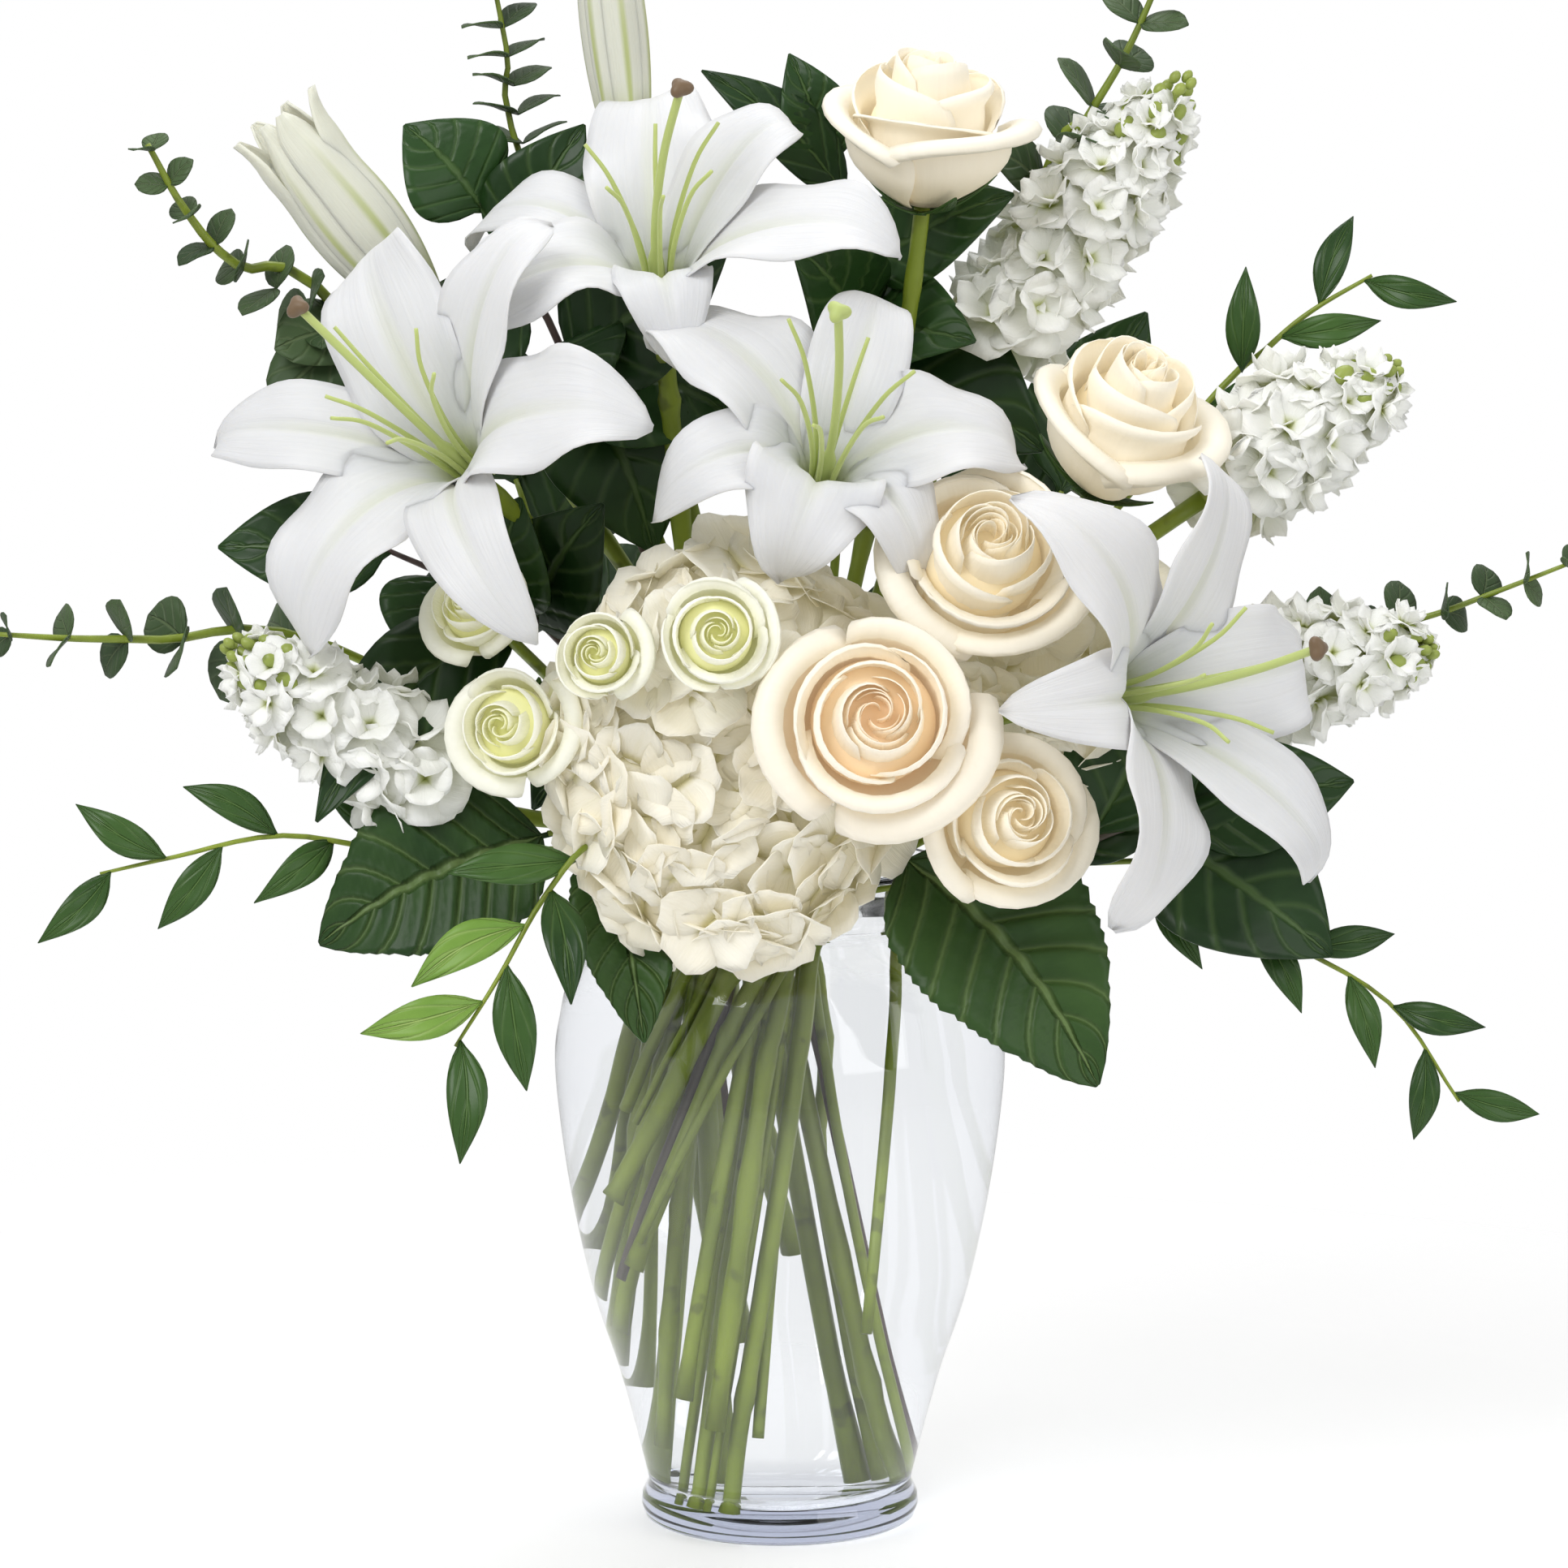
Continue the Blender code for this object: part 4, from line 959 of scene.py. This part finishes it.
@dataclass
class StockSpike:
    """A spike of double florets, each a ruffled rosette, with green buds at its tip."""

    name: str
    length: float
    radius: float
    seed: int
    florets: int = 24
    stem_radius: float = 0.0032
    tip_buds: int = 22

    def build(self) -> None:
        """Makes the spike on its stem."""
        rng = random.Random(self.seed)
        seat = CutStem(self.name, self.stem_radius).seat()
        bm = new_sheet_mesh()
        for i in range(self.florets):
            share = i / (self.florets - 1)
            swell = math.sin(math.pi * (0.22 + 0.66 * share)) ** 0.6
            size = self.radius * 0.64 * (1.0 - 0.42 * share) * rng.uniform(0.88, 1.15)
            angle = i * GOLDEN
            way = around(1, angle, 0.35 + 0.5 * share).normalized()
            stray = rng.uniform(0.46, 0.74)
            centre = Vector((0, 0, self.length * (0.06 + 0.74 * share))) + way * self.radius * stray * swell
            self.floret(bm, seat_at(centre, way), size, rng)
        add_piece(self.name + "_florets", bm, Finish.STOCK, "stock_petal", [self.name], THIN_PETAL, seat)
        self.build_tip(seat, rng)

    def floret(self, bm: Sheets, seat: Matrix, size: float, rng: random.Random) -> None:
        """Adds one double floret of two rings of ruffled petals."""
        for ring, (count, reach, lift) in enumerate(((5, 1.0, 0.05), (4, 0.60, 0.50))):
            for k in range(count):
                angle = math.tau * (k + 0.5 * ring) / count + rng.uniform(-0.2, 0.2)
                phase, tone = rng.uniform(0, math.tau), rng.random()
                turn = seat @ Matrix.Rotation(angle, 4, "Z")

                def place(x: float, y: float) -> Vector:
                    wide = size * reach * 0.60 * (0.16 + math.sin(math.pi * (0.04 + 0.72 * y)))
                    frill = size * 0.14 * y * y * math.sin(3.4 * x + phase)
                    up = size * (lift * y * 1.3 + 0.22 * y * (1 - y)) + frill
                    return turn @ Vector((size * reach * y * (1 - 0.12 * x * x), x * wide, up))

                add_sheet(bm, 4, 4, place, tone)

    def build_tip(self, seat: Matrix, rng: random.Random) -> None:
        """Adds the stalk inside the spike and the closed buds at its tip."""
        bm = bmesh.new()
        add_tube(bm, [Vector((0, 0, self.length * s)) for s in (0.0, 0.5, 0.93)], [0.003, 0.0025, 0.0015])
        for i in range(self.tip_buds):
            share = i / (self.tip_buds - 1)
            angle = i * GOLDEN
            r = self.radius * 0.44 * (1 - share) ** 0.7 + 0.0012
            centre = around(r, angle, self.length * (0.74 + 0.23 * share))
            bud = bmesh.ops.create_icosphere(bm, subdivisions=2, radius=0.0031 - 0.0014 * share)["verts"]
            lean = rng.uniform(1.15, 1.5)
            for v in bud:
                v.co = Vector((v.co.x, v.co.y, v.co.z * lean)) + centre
        add_piece(self.name + "_buds", bm, Finish.PALE_STEM, "stem", seat=seat)


@dataclass
class HydrangeaHead:
    """A dome of four-petalled florets on a lumpy green core."""

    name: str
    seed: int
    florets: int
    stem_radius: float = 0.0038
    floret_radius: float = 0.0165

    def build(self) -> None:
        """Makes the head in the CAD solid's box."""
        rng = random.Random(self.seed)
        low, high = (Vector(c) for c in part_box(self.name))
        centre, half = (low + high) / 2, (high - low) / 2
        bm = new_sheet_mesh()
        for i in range(self.florets):
            z = 1 - 2 * (i + 0.5) / self.florets
            angle = i * GOLDEN
            way = around(math.sqrt(1 - z * z), angle, z)
            shell = rng.uniform(0.80, 0.93)
            at = centre + Vector(w * h for w, h in zip(way, half)) * shell
            facing = Vector(w / h for w, h in zip(way, half)).normalized()
            facing = (facing + Vector([rng.uniform(-0.35, 0.35) for _ in range(3)])).normalized()
            seat = seat_at(at, facing) @ Matrix.Rotation(angle * 3, 4, "Z")
            self.floret(bm, seat, self.floret_radius * rng.uniform(0.82, 1.12), rng)
        add_piece(self.name + "_florets", bm, Finish.HYDRANGEA, "hydrangea_petal", [self.name], THIN_PETAL)
        core = bmesh.new()
        bmesh.ops.create_icosphere(core, subdivisions=4, radius=1.0)
        for v in core.verts:
            lump = 0.66 + 0.10 * noise.noise(v.co * 5)
            v.co = Vector(c * h for c, h in zip(v.co, half)) * lump + centre
        add_piece(self.name + "_core", core, Finish.PALE_STEM, "stem")

    def floret(self, bm: Sheets, seat: Matrix, size: float, rng: random.Random) -> None:
        """Adds four overlapping petals with a notched edge."""
        cup = rng.uniform(0.05, 0.32)
        for k in range(4):
            turn = seat @ Matrix.Rotation(math.tau * k / 4 + rng.uniform(-0.12, 0.12), 4, "Z")
            phase, tone = rng.uniform(0, math.tau), rng.random()

            def place(x: float, y: float) -> Vector:
                wide = size * 0.60 * math.sin(math.pi * (0.10 + 0.62 * y)) ** 0.9
                notch = 1 + 0.07 * math.sin(9 * x + phase) * (y > 0.7)
                up = size * (cup * y * y + 0.05 * x * x * math.sin(phase)) + 0.0006 * (k % 2)
                return turn @ Vector((size * y * notch * (1 - 0.16 * x * x), x * wide, up))

            add_sheet(bm, 4, 4, place, tone)


# ---------------------------------------------------------------- foliage


@dataclass(frozen=True)
class BladeShape:
    """How one kind of leaf is shaped: its outline, bend, fold, teeth, and the grid that it needs."""

    finish: Finish
    slot: str
    skew: float
    fullness: float
    stalk: float
    arch: float
    fold: float
    teeth: float
    quilt: float
    rows: int
    columns: int
    thickness: float


class Kind(Enum):
    """The kinds of foliage."""

    EUCALYPTUS = BladeShape(Finish.EUCALYPTUS, "eucalyptus_leaf", 0.85, 0.55, 0.04, 0.03, 0.10, 0, 0.0,
                            8, 4, 0.0005)
    RUSCUS = BladeShape(Finish.RUSCUS, "leaf", 0.85, 0.95, 0.03, 0.10, 0.25, 0, 0.0, 14, 4, 0.0006)
    SALAL = BladeShape(Finish.SALAL, "leaf", 0.72, 0.85, 0.04, 0.08, 0.22, 0, 0.0012, 20, 8, 0.0007)
    BROAD = BladeShape(Finish.BROAD, "leaf", 0.72, 0.75, 0.05, 0.06, 0.16, 22, 0.0022, 48, 12, 0.0008)


@dataclass
class Leaf:
    """One large leaf: how far along its branch it starts, where its tip is, and its width."""

    start: float
    tip: Vector
    width: float


@dataclass
class Branch:
    """A leafy branch whose stem follows its CAD node in the vase, and its own points above it."""

    name: str
    kind: Kind
    points: tuple
    radius: float
    seed: int
    pairs: int = 0
    size: tuple = (0.020, 0.010)
    turn: float = 0.0
    leaves: tuple = ()
    twist: float = 80.0
    tilt: tuple = (0.2, 1.3)
    young: tuple = ()
    bark: Finish = Finish.STEM

    def leaf_place(self, start: Vector, tip: Vector, half: float, normal: Vector,
                   rng: random.Random) -> Place:
        """The layout of one leaf.

        Args:
            start: Where it leaves the branch.
            tip: Its tip.
            half: Half of its width.
            normal: The way that its upper side faces.
            rng: The branch's own random numbers.

        Returns:
            The place of each of its points.
        """
        shape = self.kind.value
        along = tip - start
        side = normal.cross(along).normalized()
        up = along.cross(side).normalized()
        bend = shape.arch * rng.uniform(0.6, 1.5)
        sway = rng.uniform(-0.07, 0.07) * along.length
        phase = rng.uniform(0, math.tau)
        curl = rng.uniform(0.0, 0.10) * along.length

        def place(x: float, y: float) -> Vector:
            body = math.sin(math.pi * min(1.0, max(0.0, (y - shape.stalk) / (1 - shape.stalk))) ** shape.skew)
            outline = max(abs(body) ** shape.fullness, 0.03)
            if shape.teeth:
                outline *= 1 - 0.07 * ((y * shape.teeth) % 1.0) * abs(x) ** 3
            wide = half * outline
            lift = along.length * bend * math.sin(math.pi * y) - curl * max(0.0, y - 0.6) ** 2 / 0.16
            lift += abs(x) * wide * shape.fold + 0.05 * wide * math.sin(6 * y + phase) * x
            veins = math.sin(math.tau * (y * 8.0 - abs(x) * 1.6))
            lift += shape.quilt * veins * (1 - x * x) * outline
            return start + along * y + side * (x * wide + sway * math.sin(math.pi * y)) + up * lift

        return place

    def leaf_list(self, spray: list[Vector], rng: random.Random) -> list[tuple]:
        """Each leaf's start, tip, half width and upper side.

        Args:
            spray: The branch's line above the vase.
            rng: The branch's own random numbers.

        Returns:
            The leaves, by the branch's list or by its kind's rule.
        """
        made = []
        for leaf in self.leaves:
            start, _ = point_at(spray, leaf.start)
            out = leaf.tip - start
            level = Vector((0, -1, 0)) if start.y < 0.03 else Vector((0, 1, 0))
            normal = (level + Vector((0, 0, 0.45))).normalized()
            made.append((start, leaf.tip, leaf.width / 2, normal - normal.project(out)))
        if not self.pairs:
            return made
        big, small = self.size
        for i in range(self.pairs):
            share = (i + 0.6) / (self.pairs - 0.2)
            start, ahead = point_at(spray, share)
            size = big + (small - big) * share
            across = Vector((0, -1, 0.25)).cross(ahead).normalized()
            facing = ahead.cross(across).normalized()
            if self.kind is Kind.EUCALYPTUS:
                angle = math.radians(self.turn + self.twist * i + rng.uniform(-12, 12))
                out = across * math.cos(angle) + facing * math.sin(angle)
                for sign in (-1, 1):
                    tip = start + (out * sign + ahead * rng.uniform(0.15, 0.6)).normalized() * size
                    level = ahead + Vector((0, -1, 0.3)) * rng.uniform(*self.tilt)
                    made.append((start, tip, size * rng.uniform(0.40, 0.50), level))
            else:
                sign = 1 if i % 2 else -1
                swing = math.radians(38 + 6 * math.sin(2.1 * i))
                out = ahead * math.cos(swing) + across * sign * math.sin(swing)
                out = (out + facing * 0.22 * math.sin(1.7 * i)).normalized()
                made.append((start, start + out * size, size * 0.165, facing))
        return made

    def build(self) -> None:
        """Makes the branch's stem and leaves."""
        rng = random.Random(self.seed)
        shape = self.kind.value
        spray = smooth_curve(self.points, 5)
        line = smooth_curve([*stem_line(self.name, self.radius, True), *self.points], 5)
        count = len(line)
        mesh = tube_mesh(line, [self.radius * (1.0 - 0.6 * (i / count) ** 2) for i in range(count)])
        add_piece(self.name + "_twig", mesh, self.bark, "stem")
        grown, young = new_sheet_mesh(), new_sheet_mesh()
        for i, (start, tip, half, normal) in enumerate(self.leaf_list(spray, rng)):
            place = self.leaf_place(start, tip, half, normal, rng)
            add_sheet(young if i in self.young else grown, shape.columns, shape.rows, place, rng.random())
        add_piece(self.name + "_leaves", grown, shape.finish, shape.slot, [self.name], shape.thickness)
        if self.young:
            add_piece(self.name + "_young_leaves", young, Finish.LIME, shape.slot, (), shape.thickness)
        else:
            young.free()


# ---------------------------------------------------------------- the arrangement


LILIES = (
    Lily("lily_left", 8, ((84, 24), (80, 50), (78, 46), (86, 42), (84, 14), (84, 6)), 11,
         stigma=Finish.STIGMA, lean=(-0.034, 0.014)),
    Lily("lily_top", 100, ((76, 33), (78, 4), (74, 23), (50, 12), (88, 46), (62, 50)), 12,
         stigma=Finish.STIGMA),
    Lily("lily_middle", 4, ((68, 20), (66, 36), (82, 8), (62, 2), (46, 6), (54, 4)), 13),
    Lily("lily_right", 2, ((70, 40), (84, 40), (84, 14), (60, 6), (82, 24), (80, 56)), 14,
         stigma=Finish.STIGMA),
)

BUDS = (
    LilyBud("lily_bud_half_open", 0.080, 0.0150, 0.016, 21),
    LilyBud("lily_bud_closed", 0.096, 0.0105, 0.0, 22),
)

SPRAY = {"stem_radius": 0.0022, "finish": Finish.SPRAY_ROSE, "slot": "spray_rose_petal",
         "heart": 7, "outer": 7}

ROSES = (
    Rose("rose_top", 0.030, 0.050, 31),
    Rose("rose_upper_right", 0.028, 0.052, 32),
    Rose("rose_right", 0.031, 0.046, 33),
    Rose("rose_middle", 0.032, 0.044, 34, finish=Finish.PEACH_ROSE),
    Rose("rose_lower_right", 0.025, 0.042, 35),
    Rose("spray_rose_left", 0.016, 0.026, 36, **SPRAY),
    Rose("spray_rose_lower", 0.020, 0.030, 37, **SPRAY),
    Rose("spray_rose_small", 0.0145, 0.026, 38, **{**SPRAY, "stem_radius": 0.0020}),
    Rose("spray_rose_middle", 0.0185, 0.030, 39, **SPRAY),
)

SPIKES = (
    StockSpike("stock_upper_right", 0.119, 0.027, 41, 34),
    StockSpike("stock_right", 0.080, 0.027, 42, 24),
    StockSpike("stock_lower_right", 0.069, 0.024, 43, 22),
    StockSpike("stock_left", 0.089, 0.025, 44, 24),
)

HYDRANGEAS = (
    HydrangeaHead("hydrangea_front", 51, 150),
    HydrangeaHead("hydrangea_right", 52, 95),
)

BRANCHES = (
    Branch("eucalyptus_top", Kind.EUCALYPTUS, (mm(-84, 22, 452), mm(-92, 20, 500), mm(-103, 22, 556)),
           0.0016, 61, 11, (0.0170, 0.0150), 5, twist=6, tilt=(-0.1, 0.25)),
    Branch("eucalyptus_upper_left", Kind.EUCALYPTUS,
           (mm(-140, 4, 404), mm(-181, -8, 428), mm(-197, -14, 446), mm(-209, -18, 468)),
           0.0022, 62, 8, (0.0200, 0.0100), 40, leaves=(
               Leaf(0.02, mm(-168, -12, 400), 0.026), Leaf(0.03, mm(-170, -10, 382), 0.026),
               Leaf(0.00, mm(-150, -8, 378), 0.024))),
    Branch("eucalyptus_left", Kind.EUCALYPTUS,
           (mm(-150, -8, 300), mm(-206, -24, 304), mm(-234, -30, 305), mm(-258, -36, 307)),
           0.0018, 63, 6, (0.0280, 0.0110), 65),
    Branch("eucalyptus_top_right", Kind.EUCALYPTUS,
           (mm(84, 18, 444), mm(103, 14, 476), mm(118, 12, 502), mm(134, 10, 540)),
           0.0018, 64, 7, (0.0250, 0.0130), 30),
    Branch("eucalyptus_right", Kind.EUCALYPTUS,
           (mm(170, -16, 300), mm(212, -26, 311), mm(236, -30, 320), mm(262, -36, 331)),
           0.0016, 65, 7, (0.0200, 0.0100), 10),
    Branch("ruscus_left", Kind.RUSCUS,
           (mm(-118, -48, 236), mm(-163, -60, 243), mm(-198, -68, 237), mm(-222, -72, 232)),
           0.0013, 66, 6, (0.036, 0.034)),
    Branch("ruscus_lower_left", Kind.RUSCUS,
           (mm(-60, -86, 244), mm(-76, -100, 228), mm(-90, -110, 204), mm(-104, -115, 182)),
           0.0013, 67, 6, (0.044, 0.040), young=(2, 4)),
    Branch("ruscus_upper_right", Kind.RUSCUS,
           (mm(136, 6, 372), mm(163, 4, 399), mm(178, 2, 412), mm(198, 0, 424)),
           0.0015, 68, 5, (0.037, 0.032)),
    Branch("ruscus_lower_right", Kind.RUSCUS,
           (mm(116, -56, 234), mm(160, -68, 212), mm(199, -75, 190), mm(222, -80, 158)),
           0.0013, 69, 8, (0.034, 0.030)),
    Branch("salal_upper_left", Kind.SALAL, (mm(-70, 4, 392), mm(-92, 2, 430), mm(-100, 0, 448)),
           0.0020, 70, bark=Finish.PURPLE_STEM, leaves=(
               Leaf(0.95, mm(-125, -2, 474), 0.040), Leaf(0.62, mm(-66, -6, 474), 0.036),
               Leaf(0.40, mm(-128, -4, 388), 0.040), Leaf(0.15, mm(-60, -30, 384), 0.044),
               Leaf(0.05, mm(-18, -14, 438), 0.052), Leaf(0.00, mm(-14, 0, 376), 0.056),
               Leaf(0.00, mm(-42, -6, 332), 0.052))),
    Branch("salal_upper_right", Kind.SALAL, (mm(24, 16, 392), mm(28, 14, 430), mm(18, 12, 462)),
           0.0020, 71, leaves=(
               Leaf(0.98, mm(4, 4, 497), 0.026), Leaf(0.80, mm(-26, 6, 492), 0.022),
               Leaf(0.45, mm(76, -4, 452), 0.036), Leaf(0.10, mm(4, -34, 436), 0.040),
               Leaf(0.25, mm(64, -18, 404), 0.040), Leaf(0.05, mm(88, -4, 366), 0.056),
               Leaf(0.00, mm(-20, -30, 362), 0.050))),
    Branch("salal_left", Kind.SALAL, (mm(-70, -22, 300), mm(-104, -26, 322), mm(-130, -26, 334)),
           0.0020, 72, bark=Finish.PURPLE_STEM, leaves=(
               Leaf(0.98, mm(-186, -30, 336), 0.038), Leaf(0.70, mm(-118, -44, 296), 0.040),
               Leaf(0.45, mm(-86, -52, 352), 0.042), Leaf(0.20, mm(-60, -52, 350), 0.044),
               Leaf(0.30, mm(-150, -84, 252), 0.036))),
    Branch("salal_right", Kind.SALAL, (mm(80, -50, 232), mm(114, -62, 246), mm(130, -64, 248)),
           0.0020, 73, bark=Finish.WOODY, leaves=(
               Leaf(0.98, mm(188, -62, 262), 0.040), Leaf(0.80, mm(180, -78, 206), 0.056),
               Leaf(0.45, mm(128, -58, 318), 0.044), Leaf(0.10, mm(134, -40, 286), 0.056))),
    Branch("salal_back_left", Kind.SALAL, (mm(-50, 44, 280), mm(-80, 70, 320), mm(-92, 78, 350)),
           0.0020, 74, leaves=(
               Leaf(0.98, mm(-126, 84, 412), 0.046), Leaf(0.75, mm(-46, 96, 384), 0.046),
               Leaf(0.50, mm(-132, 70, 304), 0.044), Leaf(0.20, mm(-34, 98, 318), 0.044),
               Leaf(0.05, mm(-86, 72, 238), 0.040))),
    Branch("salal_back_right", Kind.SALAL, (mm(50, 44, 280), mm(82, 70, 312), mm(98, 76, 346)),
           0.0020, 75, leaves=(
               Leaf(0.98, mm(126, 82, 408), 0.046), Leaf(0.75, mm(56, 96, 380), 0.046),
               Leaf(0.50, mm(134, 68, 300), 0.044), Leaf(0.20, mm(30, 98, 306), 0.044),
               Leaf(0.05, mm(92, 70, 236), 0.040))),
    Branch("hydrangea_leaf_right", Kind.BROAD, (mm(36, -62, 238), mm(38, -80, 240)),
           0.0022, 76, leaves=(Leaf(0.95, mm(103, -104, 168), 0.066),)),
    Branch("hydrangea_leaf_left", Kind.BROAD, (mm(-52, -44, 242), mm(-76, -62, 244)),
           0.0022, 77, leaves=(Leaf(0.95, mm(-150, -80, 212), 0.062), Leaf(0.20, mm(-44, -92, 180), 0.036))),
)


# ---------------------------------------------------------------- the room


@dataclass
class Studio:
    """The pale floor, the soft lamps, the surroundings and the camera."""

    distance: float = 2.1
    pitch: float = 7.0
    aim: Vector = Vector((0.0014, 0.0, 0.2527))
    lens: float = 142.8
    floor_radius: float = 1.2
    floor_lift: float = 0.15
    ambient: float = 0.58

    def build(self) -> None:
        """Sets the studio up."""
        self.build_floor()
        self.build_world()
        self.lamp("key", (-0.9, -1.3, 1.5), 1.0, 20.0)
        self.lamp("fill", (1.3, -1.1, 0.8), 1.2, 7.0)
        self.lamp("top", (0.1, 0.5, 1.8), 1.0, 9.5)
        self.build_camera()

    def build_floor(self) -> None:
        """Makes the floor, which fades out far from the vase."""
        bm = bmesh.new()
        bmesh.ops.create_circle(bm, cap_ends=True, segments=96, radius=self.floor_radius)
        mesh = bpy.data.meshes.new("floor")
        bm.to_mesh(mesh)
        bm.free()
        g = Surface("pale_floor", 0.6)
        g.colour((0.93, 0.93, 0.93, 1))
        g.fixed(Emission_Color=(1, 1, 1, 1), Emission_Strength=self.floor_lift)
        where = g.node("TexCoord", output="Object")
        length = g.node("VectorMath", {"operation": "LENGTH"}, {0: where}, 1)
        g.feed(g.shader.inputs["Alpha"], 1.0 - g.step(length, 0.30, 0.75))
        mesh.materials.append(g.material)
        floor = bpy.data.objects.new("floor", mesh)
        floor.location.z = -0.0004
        bpy.context.scene.collection.objects.link(floor)

    def build_world(self) -> None:
        """White to the eye and through glass, and a little softer as light."""
        world = bpy.data.worlds.new("studio")
        world.use_nodes = True
        ground = world.node_tree.nodes["Background"]
        g = Graph(world.node_tree)
        camera, through, depth = (g.node("LightPath", output=name) for name in (
            "Is Camera Ray", "Is Transmission Ray", "Diffuse Depth"))
        seen = (g.math("MAXIMUM", camera, through) - depth).clamped()
        g.feed(ground.inputs["Strength"], g.node("MapRange", None, {0: seen, "To Min": self.ambient}))
        ground.inputs["Color"].default_value = (1, 1, 1, 1)
        bpy.context.scene.world = world
        bpy.context.scene.view_settings.view_transform = "Standard"

    def lamp(self, name: str, place: tuple, size: float, power: float) -> None:
        """Adds a soft area lamp that points at the flowers."""
        light = bpy.data.lights.new(name, "AREA")
        light.size = size
        light.energy = power
        made = bpy.data.objects.new(name, light)
        made.location = place
        made.rotation_euler = (Vector((0, 0, 0.25)) - Vector(place)).to_track_quat("-Z", "Y").to_euler()
        bpy.context.scene.collection.objects.link(made)

    def build_camera(self) -> None:
        """Places the camera and makes it the scene's."""
        pitch = math.radians(self.pitch)
        camera = bpy.data.cameras.new("camera")
        camera.lens = self.lens
        made = bpy.data.objects.new("camera", camera)
        made.location = self.aim + Vector((0, -math.cos(pitch), math.sin(pitch))) * self.distance
        made.rotation_euler = (math.pi / 2 - pitch, 0, 0)
        bpy.context.scene.collection.objects.link(made)
        bpy.context.scene.camera = made


def main() -> None:
    """Builds the vase, the stems, the flowers and the foliage, and sets up the studio."""
    logging.basicConfig(level=logging.INFO, format="%(name)s: %(message)s")
    Studio().build()
    Vase().build()
    for flower in (*LILIES, *BUDS, *ROSES, *SPIKES, *HYDRANGEAS):
        CutStem(flower.name, flower.stem_radius).build()
        flower.build()
    for branch in BRANCHES:
        branch.build()


if __name__ == "__main__":
    main()
